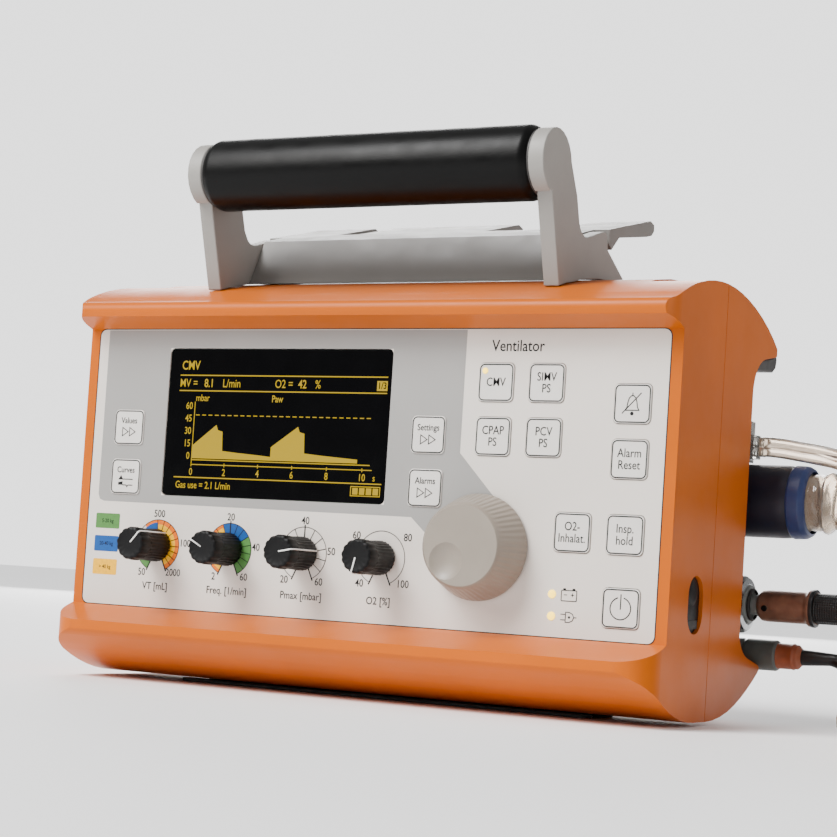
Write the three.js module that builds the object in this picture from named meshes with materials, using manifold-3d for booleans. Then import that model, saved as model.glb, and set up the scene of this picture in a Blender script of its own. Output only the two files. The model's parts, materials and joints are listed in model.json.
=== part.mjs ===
// A portable transport ventilator with its carrying handle, controls, rear connections and cords.
// Units are millimetres. X runs across (positive to the user's right when facing the controls),
// "depth" is measured backwards from the face of the control panel, and "height" is above the floor.
// At the end every piece is moved forward by centreDepth, so that Y = 0 is the middle of the object.
import * as THREE from 'three';
import { mergeVertices } from 'three/addons/utils/BufferGeometryUtils.js';
import Module from 'manifold-3d';

const wasm = await Module();
wasm.setup();

// ---------------------------------------------------------------- driving dimensions
const caseWidth = 285;
const halfWidth = caseWidth / 2;
const caseBottom = 1.8;
const crestHeight = 180.1;
const deckRise = 2.7;
const hookTop = crestHeight - 19.3;
const seamDepth = 46.5;
const rearWallDepth = 82.9;
const hookDepth = 112.3;
const lowerLipDepth = -18.6;
const panelWidth = 274.9;
const panelHeight = 123.1;
const panelThickness = 3;
const panelCentre = 93.9;
const gap = 0.3;

const keySize = 15.64;
const keyRadius = 2;
const keyTravel = 0.5;
const keyProud = 0.6;
const keyFlange = keySize + 1.8;
const keyColumn = 122.8;
const powerKeyHeight = 45.4;

const smallKnobDiameter = 14.6;
const smallKnobLength = 21.3;
const smallKnobHeight = 59.7;
const firstDialX = -98.5;
const dialPitch = 37.6;

const rotaryX = 59.6;
const rotaryHeight = 66.3;
const rotaryBaseDiameter = 43.5;
const rotaryFrontDiameter = 35;
const rotaryLength = 17.5;
const shaftDiameter = 6;

const bracketOuterX = 85.2;
const bracketThickness = 6.9;
const bracketInnerX = bracketOuterX - bracketThickness;
const gripRadius = 15.5;
const gripDepth = -2.4;
const gripRise = 42.5;
const gripHeight = crestHeight + gripRise;
const discRadius = 13.95;

const padDepth = 117.2;
const blockDepth = 120;

const portDepth = 112;
const inletRadius = 12.4;
const centreDepth = (portDepth + inletRadius - smallKnobLength) / 2;
const blockRight = 128.5;
const hoseHeight = 95.5;
const oxygenHeight = 50.4;
const dcHeight = 29.2;
const dcDepth = 114;

const hoseDiameter = 27;
const cuffRadius = hoseDiameter / 2 + 2.3;
const portRadius = hoseDiameter / 2 - 2.5;
const sensingHeight = hoseHeight + cuffRadius + 7.7;
const sensingDiameter = 8.8;
const oxygenDiameter = 13.4;
const dcDiameter = 4.6;
const coilX = 373;
const coilDepth = -23;

// ---------------------------------------------------------------- geometry helpers
const solidOf = (geometry) => {
  const bare = geometry.clone();
  bare.deleteAttribute('normal');
  bare.deleteAttribute('uv');
  const merged = mergeVertices(bare, 1e-4);
  return new wasm.Manifold(
    new wasm.Mesh({
      numProp: 3,
      vertProperties: new Float32Array(merged.attributes.position.array),
      triVerts: new Uint32Array(merged.index.array),
    }),
  );
};

const geometryOf = (solid) => {
  const mesh = solid.getMesh();
  const geometry = new THREE.BufferGeometry();
  geometry.setAttribute('position', new THREE.BufferAttribute(mesh.vertProperties, 3));
  geometry.setIndex(new THREE.BufferAttribute(mesh.triVerts, 1));
  const flat = geometry.toNonIndexed();
  flat.computeVertexNormals();
  return flat;
};

const unite = (...all) => geometryOf(all.map(solidOf).reduce((a, b) => a.add(b)));
const cut = (base, ...tools) => geometryOf(tools.map(solidOf).reduce((a, b) => a.subtract(b), solidOf(base)));
const overlap = (a, b) => geometryOf(solidOf(a).intersect(solidOf(b)));

const box = (x0, x1, d0, d1, h0, h1) => {
  const geometry = new THREE.BoxGeometry(x1 - x0, d1 - d0, h1 - h0);
  return geometry.translate((x0 + x1) / 2, (d0 + d1) / 2, (h0 + h1) / 2);
};

const polygon = (points) => new THREE.Shape(points.map(([a, b]) => new THREE.Vector2(a, b)));

const extrude = (shape, length, curveSegments = 6) =>
  new THREE.ExtrudeGeometry(shape, { depth: length, bevelEnabled: false, curveSegments });

// An outline drawn as (depth, height), extruded across from x0 to x1.
const acrossFrom = (shape, x0, x1, curveSegments) => {
  const geometry = extrude(shape, x1 - x0, curveSegments);
  const turn = new THREE.Matrix4().makeBasis(
    new THREE.Vector3(0, 1, 0),
    new THREE.Vector3(0, 0, 1),
    new THREE.Vector3(1, 0, 0),
  );
  return geometry.applyMatrix4(turn).translate(x0, 0, 0);
};

// An outline drawn as (x, height), extruded backwards from d0 to d1.
const backFrom = (shape, d0, d1, curveSegments) => {
  const geometry = extrude(shape, d1 - d0, curveSegments);
  return geometry.rotateX(Math.PI / 2).translate(0, d1, 0);
};

const roundedRect = (width, height, radius, x = 0, y = 0) => {
  const a = width / 2;
  const b = height / 2;
  const shape = new THREE.Shape();
  shape.moveTo(x - a + radius, y - b);
  shape.absarc(x + a - radius, y - b + radius, radius, -Math.PI / 2, 0);
  shape.absarc(x + a - radius, y + b - radius, radius, 0, Math.PI / 2);
  shape.absarc(x - a + radius, y + b - radius, radius, Math.PI / 2, Math.PI);
  shape.absarc(x - a + radius, y - b + radius, radius, Math.PI, Math.PI * 1.5);
  return shape;
};

// A profile of (station, radius) pairs turned about an axis through the origin along X.
const turnedAcross = (profile, sides = 24) => {
  const points = profile.map(([station, radius]) => new THREE.Vector2(radius, station));
  return new THREE.LatheGeometry(points, sides).rotateZ(-Math.PI / 2);
};

// The same profile turned about an axis that runs backwards through (x, height).
const turnedBack = (profile, x, height, sides = 32) => {
  const points = profile.map(([station, radius]) => new THREE.Vector2(radius, station));
  return new THREE.LatheGeometry(points, sides).translate(x, 0, height);
};

const rodAcross = (radius, x0, x1, depth, height, sides = 24) =>
  turnedAcross([[x0, 0], [x0, radius], [x1, radius], [x1, 0]], sides).translate(0, depth, height);

const rodBack = (radius, d0, d1, x, height, sides = 24) =>
  turnedBack([[d0, 0], [d0, radius], [d1, radius], [d1, 0]], x, height, sides);

// ---------------------------------------------------------------- the named pieces
const assembly = new THREE.Group();
assembly.name = 'transport_ventilator';

const finishes = {
  orange: { color: 0xdd7430, roughness: 0.35 },
  panel: { color: 0xd5cec6, roughness: 0.5 },
  glass: { color: 0x0a0a0c, roughness: 0.1 },
  key: { color: 0xdcd8d2, roughness: 0.5 },
  black: { color: 0x141414, roughness: 0.5 },
  taupe: { color: 0xa39b91, roughness: 0.5 },
  handle: { color: 0xa09c96, roughness: 0.4 },
  steel: { color: 0xb8bcc0, roughness: 0.3, metalness: 1 },
  rubber: { color: 0x33302e, roughness: 0.8 },
  board: { color: 0x1f5a38, roughness: 0.6 },
  battery: { color: 0x2c4a7a, roughness: 0.6 },
  navy: { color: 0x23283c, roughness: 0.6 },
  clear: { color: 0xe6d3c2, roughness: 0.3 },
  bronze: { color: 0x785a4e, roughness: 0.35, metalness: 1 },
  grey: { color: 0x8a8f8c, roughness: 0.5 },
};

const add = (name, geometry, finish) => {
  const mesh = new THREE.Mesh(geometry, new THREE.MeshStandardMaterial(finishes[finish]));
  mesh.name = name;
  geometry.translate(0, -centreDepth, 0);
  assembly.add(mesh);
};

// ---------------------------------------------------------------- the two case shells
// The side outline: a bumper lip above and below the panel at the front, a crest at the seam,
// and at the back a hanging hook above and a bumper lip below.
const caseOutline = () => {
  const shape = new THREE.Shape();
  shape.moveTo(0, panelCentre + panelHeight / 2);
  shape.lineTo(-12.3, 159.6);
  shape.quadraticCurveTo(-14.6, 165.5, -8.6, 166.7);
  shape.bezierCurveTo(5, crestHeight - 5.6, 25, crestHeight, seamDepth, crestHeight);
  shape.bezierCurveTo(68, crestHeight, 95, crestHeight - 7.1, hookDepth, hookTop);
  shape.quadraticCurveTo(112.8, hookTop - 2.6, 108.7, hookTop - 3.1);
  shape.lineTo(95.9, hookTop - 5.5);
  shape.quadraticCurveTo(84.5, hookTop - 8.8, rearWallDepth, hookTop - 20.4);
  shape.lineTo(rearWallDepth, 36.3);
  shape.quadraticCurveTo(86.5, 28.5, 96.7, 27);
  shape.lineTo(107.1, 24.8);
  shape.quadraticCurveTo(111.8, 23.6, 107.7, 21.1);
  shape.bezierCurveTo(92, 11.5, 72, caseBottom, seamDepth, caseBottom);
  shape.lineTo(33.4, caseBottom);
  shape.bezierCurveTo(15, caseBottom, -3, 9, -14.5, 17.4);
  shape.quadraticCurveTo(-20.5, 21, lowerLipDepth, 25.2);
  shape.lineTo(0, panelCentre - panelHeight / 2);
  return shape;
};

const frontCorner = 15;
const rearCorner = 4;
const planOutline = () => {
  const front = lowerLipDepth;
  const rear = hookDepth + 2;
  const shape = new THREE.Shape();
  shape.absarc(halfWidth - frontCorner, front + frontCorner, frontCorner, -Math.PI / 2, 0);
  shape.absarc(halfWidth - rearCorner, rear - rearCorner, rearCorner, 0, Math.PI / 2);
  shape.absarc(rearCorner - halfWidth, rear - rearCorner, rearCorner, Math.PI / 2, Math.PI);
  shape.absarc(frontCorner - halfWidth, front + frontCorner, frontCorner, Math.PI, Math.PI * 1.5);
  return shape;
};

// Outlines on top of the case are drawn as [depth, height above a level] and then raised to that level.
const raised = (level, points) => polygon(points.map(([depth, rise]) => [depth, level + rise]));

const deckOutline = raised(crestHeight, [
  [20, -8.1],
  [20, -3],
  [27.5, -0.9],
  [44.5, 2],
  [52, deckRise],
  [62, 2.2],
  [74, -0.1],
  [86, -4.8],
  [95, -9.2],
  [95, -13.1],
  [60, -8.1],
]);

const slab = extrude(planOutline(), crestHeight + 20, 8);
const bumperCase = overlap(acrossFrom(caseOutline(), -halfWidth, halfWidth, 8), slab);
const wholeCase = unite(bumperCase, acrossFrom(deckOutline, -118, 118));
const seamGap = 0.25;
const panelOpening = backFrom(
  roundedRect(panelWidth + 2 * gap, panelHeight + 2 * gap, 3.3, 0, panelCentre),
  -25,
  panelThickness + 0.4,
);

// The room behind the panel reaches past the flanges of the keys nearest its edges.
const roomHalfWidth = keyColumn + keyFlange / 2 + 2.98;
const roomBottom = powerKeyHeight - keyFlange / 2 - 0.68;

const portSlot = { depth: 28.8, height: 48.6, width: 16.2, tall: 23.4 };
const slotOutline = (shrink) => {
  const { depth, height, width, tall } = portSlot;
  return roundedRect(width - 2 * shrink, tall - 2 * shrink, width / 2 - shrink - 0.01, depth, height);
};

add(
  'front_shell',
  cut(
    overlap(wholeCase, box(-200, 200, -50, seamDepth - seamGap, -10, 300)),
    panelOpening,
    box(-roomHalfWidth, roomHalfWidth, 3.3, 60, roomBottom, 152),
    box(-138, 138, 12, 60, 14, 170),
    acrossFrom(slotOutline(0), halfWidth - 3.5, halfWidth + 5),
  ),
  'orange',
);

add(
  'rear_shell',
  cut(
    overlap(wholeCase, box(-200, 200, seamDepth + seamGap, 200, -10, 300)),
    box(-138, 138, 40, 70, 14, 170),
    box(-134.5, 134.5, 60, rearWallDepth - 3.2, 40, 137),
    box(83, 132.3, rearWallDepth + 0.1, 130, 18, 41),
  ),
  'orange',
);

add('side_port_insert', acrossFrom(slotOutline(gap), halfWidth - 3.2, halfWidth - 1.4), 'black');

for (const [name, depth] of [['foot_front', 30], ['foot_rear', 51.5]]) {
  const strip = roundedRect(200, 8, 3.9, 0, depth);
  add(name, extrude(strip, caseBottom - gap), 'rubber');
}

const padOutline = raised(hookTop, [
  [107.5, 3.8],
  [114.5, 1.5],
  [padDepth, -3.3],
  [116, -7],
  [112.5, -9.2],
  [90.5, -10.9],
  [92.3, -8.2],
  [96.3, -5.9],
  [108.9, -3.5],
  [112.4, -2.8],
  [113.2, -1.6],
  [112.8, 0.3],
]);
add('hanger_pad', acrossFrom(padOutline, 2 - halfWidth, halfWidth - 2), 'rubber');

// ---------------------------------------------------------------- panel, display and keys
const keys = [
  ['key_mode_a', 62.7, 133.5],
  ['key_mode_b', 85.3, 133.5],
  ['key_mode_c', 62.7, 111.5],
  ['key_mode_d', 85.3, 111.5],
  ['key_settings', 33.1, 111.5],
  ['key_alarms', 33.1, 89.5],
  ['key_silence', keyColumn, 125.7],
  ['key_reset', keyColumn, 103.8],
  ['key_oxygen', 100.3, 74.1],
  ['key_hold', keyColumn, 74.1],
  ['key_power', keyColumn, powerKeyHeight],
  ['key_values', -118, 111.5],
  ['key_curves', -118, 89.5],
];

const screen = { x: -42.25, height: 114.5, width: 112.1, tall: 64.6 };
const dialXs = [0, 1, 2, 3].map((i) => firstDialX + i * dialPitch);

const panelHoles = [
  backFrom(roundedRect(screen.width + 2 * gap, screen.tall + 2 * gap, 2.3, screen.x, screen.height), -1, 5),
  ...keys.map(([, x, height]) =>
    backFrom(roundedRect(keySize + 2 * gap, keySize + 2 * gap, keyRadius + gap, x, height), -1, 5, 3),
  ),
  ...dialXs.map((x) => rodBack(shaftDiameter / 2 + 0.5, -1, 5, x, smallKnobHeight, 16)),
  rodBack(shaftDiameter / 2 + 0.5, -1, 5, rotaryX, rotaryHeight, 16),
];
const panelPlate = backFrom(roundedRect(panelWidth, panelHeight, 3, 0, panelCentre), 0, panelThickness);
add('front_panel', cut(panelPlate, ...panelHoles), 'panel');

add(
  'display_window',
  backFrom(roundedRect(screen.width, screen.tall, 2, screen.x, screen.height), 0.3, 2.7, 4),
  'glass',
);
add(
  'display_module',
  box(screen.x - 59.7, screen.x + 59.7, 3.3, 8, screen.height - 36, screen.height + 35.5),
  'grey',
);

// Each key is a cap in its hole with a wider flange behind the panel, which keeps it in.
for (const [name, x, height] of keys) {
  const cap = backFrom(roundedRect(keySize, keySize, keyRadius, x, height), -keyProud, 3.6, 3);
  const flange = backFrom(roundedRect(keyFlange, keyFlange, keyRadius, x, height), 3.4, 4.4, 3);
  add(name, unite(cap, flange), 'key');
}

// The control board carries a switch behind each key and the body of each small knob's control.
const boardFront = 8.5;
const boardParts = [
  box(-131, 131, boardFront, boardFront + 1.6, 38, 150),
  ...keys.map(([, x, h]) => box(x - 3, x + 3, 4.4 + keyTravel + gap, boardFront + 0.5, h - 3, h + 3)),
  ...dialXs.map((x) => {
    const h = smallKnobHeight;
    return box(x - 6.5, x + 6.5, 6, boardFront + 0.5, h - 6.5, h + 6.5);
  }),
];
add(
  'control_board',
  cut(unite(...boardParts), box(screen.x - 62, screen.x + 62, 5, 12, screen.height - 38, 155)),
  'board',
);

// ---------------------------------------------------------------- knobs
// How far each small knob stands from twelve o'clock, in degrees clockwise seen from the front.
const dialRest = [41, -62, 79, -167];

const flutedOutline = () => {
  const shape = new THREE.Shape();
  const flutes = 14;
  for (let i = 0; i < flutes * 2; i += 1) {
    const angle = (i / (flutes * 2)) * Math.PI * 2;
    const radius = smallKnobDiameter / 2 - (i % 2 ? 0.7 : 0);
    const point = [radius * Math.sin(angle), radius * Math.cos(angle)];
    if (i === 0) shape.moveTo(...point);
    else shape.lineTo(...point);
  }
  return shape;
};

dialXs.forEach((x, i) => {
  const head = backFrom(flutedOutline(), -smallKnobLength + 0.4, -0.6);
  const pointer = box(-0.6, 0.6, -smallKnobLength, -4, 1, smallKnobDiameter / 2 + 0.3);
  const shaft = rodBack(shaftDiameter / 2, -1, 5.7, 0, 0, 16);
  const knob = unite(head, pointer, shaft).rotateY(THREE.MathUtils.degToRad(dialRest[i]));
  add(`dial_knob_${i + 1}`, knob.translate(x, 0, smallKnobHeight), 'black');
});

const rotaryBody = turnedBack(
  [
    [-0.9, 0],
    [-0.9, rotaryBaseDiameter / 2],
    [-2.6, rotaryBaseDiameter / 2],
    [-rotaryLength + 1.2, rotaryFrontDiameter / 2],
    [-rotaryLength, rotaryFrontDiameter / 2 - 1.2],
    [-rotaryLength, 0],
  ].reverse(),
  rotaryX,
  rotaryHeight,
  48,
);
const dimple = new THREE.SphereGeometry(9, 20, 12).scale(1, 0.5, 1);
dimple.translate(rotaryX - 6, -rotaryLength - 2.4, rotaryHeight - 6.5);
const shaftBore = rodBack(shaftDiameter / 2 + gap, -14.3, 2, rotaryX, rotaryHeight, 20);
add('rotary_knob', cut(rotaryBody, dimple, shaftBore), 'taupe');
add('encoder_shaft', rodBack(shaftDiameter / 2, -14, 7.4, rotaryX, rotaryHeight, 20), 'steel');
add(
  'encoder_body',
  cut(
    box(rotaryX - 8, rotaryX + 8, 3.4, boardFront - gap, rotaryHeight - 8, rotaryHeight + 8),
    rodBack(shaftDiameter / 2 + gap, 3, 9, rotaryX, rotaryHeight, 20),
  ),
  'grey',
);

// ---------------------------------------------------------------- carrying handle and top tray
// A bracket's side outline, with heights from the crest: a disc at the grip, a post that leans back,
// and a foot along the deck.
const bracketOutline = () => {
  const shape = new THREE.Shape();
  shape.moveTo(5.8, -6.5);
  shape.lineTo(-6.4, 31);
  shape.absarc(gripDepth, gripRise, discRadius, Math.PI * 1.38, Math.PI * 0.06, true);
  shape.lineTo(18.7, 32.7);
  shape.lineTo(22.4, 22.2);
  shape.quadraticCurveTo(26, 16.4, 32.2, 18.1);
  shape.lineTo(47.3, 23.1);
  shape.quadraticCurveTo(51.2, 23.7, 51.9, 20.7);
  shape.lineTo(52.8, 16.3);
  shape.lineTo(80, 1.9);
  shape.lineTo(80, -1.1);
  shape.lineTo(74, 0.3);
  shape.lineTo(62, 2.6);
  shape.lineTo(52, 3.1);
  shape.lineTo(44.5, 2.4);
  shape.lineTo(27.5, -0.5);
  shape.lineTo(20, -2.6);
  shape.lineTo(14, -3.9);
  return shape;
};

for (const [name, x0] of [['bracket_right', bracketInnerX], ['bracket_left', -bracketOuterX]]) {
  const plate = acrossFrom(bracketOutline(), x0, x0 + bracketThickness, 8).translate(0, 0, crestHeight);
  const socket = rodAcross(5.3, -bracketInnerX - 4, bracketInnerX + 4, gripDepth, gripHeight);
  const trimmed = cut(plate, acrossFrom(caseOutline(), -halfWidth, halfWidth, 8), socket);
  add(name, trimmed, 'handle');
}

const gripEnd = bracketInnerX - gap;
add(
  'grip',
  turnedAcross(
    [
      [-gripEnd, 5.4],
      [-gripEnd, gripRadius - 3],
      [-gripEnd + 3, gripRadius],
      [gripEnd - 3, gripRadius],
      [gripEnd, gripRadius - 3],
      [gripEnd, 5.4],
      [-gripEnd, 5.4],
    ],
    40,
  ).translate(0, gripDepth, gripHeight),
  'black',
);
add('handle_rod', rodAcross(5, -gripEnd - 4, gripEnd + 4, gripDepth, gripHeight), 'steel');

const trayBody = raised(crestHeight, [
  [27.5, -0.3],
  [33, 10.4],
  [37.8, 20.6],
  [47.3, 23.5],
  [64, 27.9],
  [64, 23.5],
  [56.5, 16.9],
  [53.3, 14.9],
  [53.3, 3.5],
  [44.5, 2.4],
]);
const trayTongue = raised(crestHeight, [
  [53.3, 18.9],
  [53.3, 25.1],
  [98.1, 36.9],
  [102.3, 35.8],
  [102.6, 33.2],
  [100, 30.7],
  [94, 29.1],
  [64, 23.4],
  [56.5, 16.9],
]);
const tonguePlaces = [[-bracketOuterX, -55], [-44, 20.5], [55, bracketOuterX]];
add(
  'top_tray',
  unite(
    acrossFrom(trayBody, -bracketInnerX + gap, bracketInnerX - gap),
    ...tonguePlaces.map(([x0, x1]) => acrossFrom(trayTongue, x0, x1)),
  ),
  'handle',
);

// ---------------------------------------------------------------- rear connections
add('connector_block', box(84, blockRight, rearWallDepth + gap, blockDepth, 20, 132), 'grey');

const blockFace = blockRight + gap;
add(
  'sensing_ports',
  unite(
    box(blockFace, blockFace + 4, portDepth - 4, portDepth + 4, sensingHeight - 7, sensingHeight + 11.2),
    box(blockFace + 3.5, blockFace + 7.4, portDepth - 3, portDepth + 3, sensingHeight - 5.5, sensingHeight + 5),
  ),
  'clear',
);
add(
  'patient_port',
  turnedAcross([
    [blockFace, portRadius - 2],
    [blockFace, portRadius],
    [141, portRadius],
    [141, portRadius - 2],
    [blockFace, portRadius - 2],
  ]).translate(0, portDepth, hoseHeight),
  'grey',
);
add(
  'oxygen_inlet',
  turnedAcross([
    [blockFace, 0],
    [blockFace, inletRadius],
    [134.6, inletRadius],
    [136.7, 10.8],
    [136.7, 4.3],
    [140.2, 4.3],
    [140.2, 0],
  ]).translate(0, portDepth, oxygenHeight),
  'grey',
);

// ---------------------------------------------------------------- inside the case
add('main_board', box(-130, 130, 38, 39.6, 24, 160), 'board');
add('battery_pack', box(-130, -20, 48, 77, 43, 84), 'battery');
add('pneumatic_block', box(4, 128, 48, 77, 43, 130), 'steel');

// ---------------------------------------------------------------- cords: plugs at the case
const atPort = (geometry, depth, height) => geometry.translate(0, depth, height);
const hosePlugEnd = 160.2;
const oxygenPlugEnd = 166;
const dcPlugEnd = 160.6;

add(
  'hose_cuff',
  atPort(
    turnedAcross([
      [blockFace + 0.2, portRadius + gap],
      [blockFace + 0.2, cuffRadius],
      [156, cuffRadius],
      [hosePlugEnd, cuffRadius - 3.2],
      [hosePlugEnd, 0],
      [142, 0],
      [142, portRadius + gap],
      [blockFace + 0.2, portRadius + gap],
    ]),
    portDepth,
    hoseHeight,
  ),
  'navy',
);
add(
  'oxygen_coupling',
  atPort(
    turnedAcross([
      [140.5, 0],
      [140.5, 5],
      [142.5, 6.8],
      [162.4, 6.9],
      [163.2, 8],
      [oxygenPlugEnd, 8],
      [oxygenPlugEnd, 0],
    ]),
    portDepth,
    oxygenHeight,
  ),
  'bronze',
);
add(
  'dc_plug',
  atPort(
    turnedAcross([
      [blockFace, 0],
      [blockFace, 6.65],
      [149.6, 6.65],
      [149.6, 5.8],
      [158.6, 5.8],
      [dcPlugEnd, 4.2],
      [dcPlugEnd, 0],
    ]),
    dcDepth,
    dcHeight,
  ),
  'grey',
);

// ---------------------------------------------------------------- cords: runs and coils
// A round tube along a smooth line through the given (x, depth, height) points.
const tubeAlong = (points, diameter, sides, steps) => {
  const path = new THREE.CatmullRomCurve3(points.map((p) => new THREE.Vector3(...p)), false, 'centripetal');
  const ring = new THREE.Shape();
  for (let i = 0; i < sides; i += 1) {
    const angle = ((i + 0.5) / sides) * Math.PI * 2;
    const point = [(Math.cos(angle) * diameter) / 2, (Math.sin(angle) * diameter) / 2];
    if (i === 0) ring.moveTo(...point);
    else ring.lineTo(...point);
  }
  return new THREE.ExtrudeGeometry(ring, { steps, extrudePath: path, curveSegments: 1 });
};

// A point at an angle (degrees, counted anticlockwise from +X) and radius round the coils' middle.
const roundCoil = (degrees, radius, height) => {
  const angle = (degrees * Math.PI) / 180;
  return [coilX + radius * Math.cos(angle), coilDepth + radius * Math.sin(angle), height];
};

const hoseCoilRadius = 135;
const hoseTop = hoseDiameter * 1.5 + 0.4;
const hoseRun = [
  [hosePlugEnd + gap, portDepth, hoseHeight],
  [170, portDepth, hoseHeight],
  [180, portDepth, hoseHeight - 1],
  [205, portDepth, 90],
  [240, portDepth, 78],
  [275, portDepth, 63.5],
  [310, portDepth, 50.5],
  [342, portDepth, 42.8],
  roundCoil(90, hoseCoilRadius, hoseTop),
  roundCoil(60, hoseCoilRadius, hoseTop),
  roundCoil(30, hoseCoilRadius, hoseTop),
  roundCoil(0, hoseCoilRadius, hoseTop),
  roundCoil(-30, hoseCoilRadius, hoseTop),
  roundCoil(-60, hoseCoilRadius, hoseTop),
];
add('hose_run', tubeAlong(hoseRun, hoseDiameter, 12, 26), 'clear');

const oxygenOver = hoseDiameter + oxygenDiameter / 2 + 0.6;
const oxygenRun = [
  [oxygenPlugEnd + gap, portDepth, oxygenHeight],
  [178, portDepth, oxygenHeight],
  [192, portDepth - 1, oxygenHeight - 0.6],
  [222, 100, 46],
  [248, 81, 38],
  roundCoil(142, 138, oxygenOver),
  roundCoil(144, 120, oxygenOver),
  roundCoil(156, 108.5, 29.5),
  roundCoil(170, 101, 23.5),
  roundCoil(184, 99.2, 20.3),
];
add('oxygen_run', tubeAlong(oxygenRun, oxygenDiameter, 10, 20), 'black');

const sensingRun = [
  [blockFace + 8, portDepth, sensingHeight],
  [142, portDepth, sensingHeight],
  [155, portDepth, 117.4],
  [172, 110, 114.4],
  [183, 103, 111],
  [192, 92, 104.5],
  [202, 76, 93],
  [212, 55, 77],
  [221, 30, 60],
  [229, 8, 49],
  [236, -14, 42],
  [241, -28, 38.7],
  [248, -46, 35.5],
  [262, -62, 33.2],
  [284, -66, 32.8],
  [304, -58, 33],
  [322, -47, 33],
  [336, -40, 29.5],
];
add('sensing_run', tubeAlong(sensingRun, sensingDiameter, 8, 30), 'clear');

const dcRun = [
  [dcPlugEnd + gap, dcDepth, dcHeight],
  [168, dcDepth, dcHeight],
  [177, dcDepth - 1, 27.6],
  [188, 106, 20],
  [197, 92, 9],
  [203, 74, 3],
  [206, 55, 2.8],
  [209, 36, 4.5],
  [213, 18, 14],
  [220, -1, 27],
  [228, -15, 30.4],
  [240, -28, 30.2],
  [258, -36, 30],
  [285, -36, 30],
  [318, -32, 30],
  [338, -28, 26],
  [349, -25, 19],
];
add('dc_run', tubeAlong(dcRun, dcDiameter, 6, 34), 'black');

// Each coil lies flat, and a rectangle of turns is stood for by a ring of that section.
const coilRing = (meanRadius, turnsWide, turnsHigh, diameter) => {
  const inner = meanRadius - (turnsWide * diameter) / 2;
  const outer = meanRadius + (turnsWide * diameter) / 2;
  const high = turnsHigh * diameter;
  const edge = diameter * 0.2;
  const profile = [
    [inner, edge],
    [inner + edge, 0],
    [outer - edge, 0],
    [outer, edge],
    [outer, high - edge],
    [outer - edge, high],
    [inner + edge, high],
    [inner, high - edge],
    [inner, edge],
  ].map(([r, z]) => new THREE.Vector2(r, z));
  return new THREE.LatheGeometry(profile, 36).rotateX(Math.PI / 2).translate(coilX, coilDepth, 0);
};
add('hose_coil', coilRing(hoseCoilRadius, 1, 1, hoseDiameter), 'clear');
add('oxygen_coil', coilRing(72, 3, 2, oxygenDiameter), 'black');
add('sensing_coil', coilRing(42, 2, 2, sensingDiameter), 'clear');
add('dc_coil', coilRing(23, 3, 3, dcDiameter), 'black');

// A turned piece lying flat beside the coils, with its axis along the circle there.
const lyingAt = (profile, degrees, radius, sides) => {
  const thickest = Math.max(...profile.map(([, r]) => r));
  const [x, depth] = roundCoil(degrees, radius, 0);
  const geometry = turnedAcross(profile, sides).rotateZ((degrees * Math.PI) / 180 - Math.PI / 2);
  return geometry.translate(x, depth, thickest);
};
add(
  'patient_valve',
  lyingAt([[-24, 0], [-24, 11], [-8, 11], [-6, 13], [14, 13], [16, 9], [24, 9], [24, 0]], -102, 105, 32),
  'clear',
);
add(
  'oxygen_far_plug',
  lyingAt([[-26, 0], [-26, 5], [-16, 5], [-14, 8.3], [10, 8.3], [12, 6.5], [24, 6.5], [24, 0]], 0, 101, 24),
  'steel',
);
add(
  'dc_far_plug',
  lyingAt([[-30, 0], [-30, 4], [-22, 9], [6, 10], [10, 8], [26, 8], [30, 4], [30, 0]], 50, 103, 24),
  'black',
);
add(
  'flow_sensor',
  lyingAt([[-20, 0], [-20, 8], [-8, 8], [-6, 10.5], [6, 10.5], [8, 7], [20, 7], [20, 0]], -48, 104, 24),
  'clear',
);

export default assembly;
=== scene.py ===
import json
import math

import bmesh
import bpy
from mathutils import Matrix, Vector

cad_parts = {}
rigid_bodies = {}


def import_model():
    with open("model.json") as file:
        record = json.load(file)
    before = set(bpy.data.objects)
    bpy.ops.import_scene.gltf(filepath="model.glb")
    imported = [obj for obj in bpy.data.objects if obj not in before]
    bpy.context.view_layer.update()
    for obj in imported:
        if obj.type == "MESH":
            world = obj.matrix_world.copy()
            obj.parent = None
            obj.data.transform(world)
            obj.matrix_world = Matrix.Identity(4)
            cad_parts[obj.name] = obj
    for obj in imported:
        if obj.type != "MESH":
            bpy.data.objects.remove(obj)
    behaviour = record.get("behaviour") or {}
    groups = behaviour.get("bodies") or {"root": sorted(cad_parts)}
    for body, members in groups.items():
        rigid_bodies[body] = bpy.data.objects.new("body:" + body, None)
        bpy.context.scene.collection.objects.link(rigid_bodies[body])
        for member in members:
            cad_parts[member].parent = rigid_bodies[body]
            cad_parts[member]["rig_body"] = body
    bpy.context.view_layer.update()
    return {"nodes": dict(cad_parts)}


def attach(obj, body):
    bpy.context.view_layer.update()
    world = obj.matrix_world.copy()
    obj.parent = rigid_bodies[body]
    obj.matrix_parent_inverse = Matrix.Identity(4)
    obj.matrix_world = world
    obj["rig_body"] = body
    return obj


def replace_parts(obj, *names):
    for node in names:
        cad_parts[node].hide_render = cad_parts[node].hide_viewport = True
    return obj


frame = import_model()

MM = 0.001
CENTRE_DEPTH = 51.55
WHOLE = "ventilator"

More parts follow.
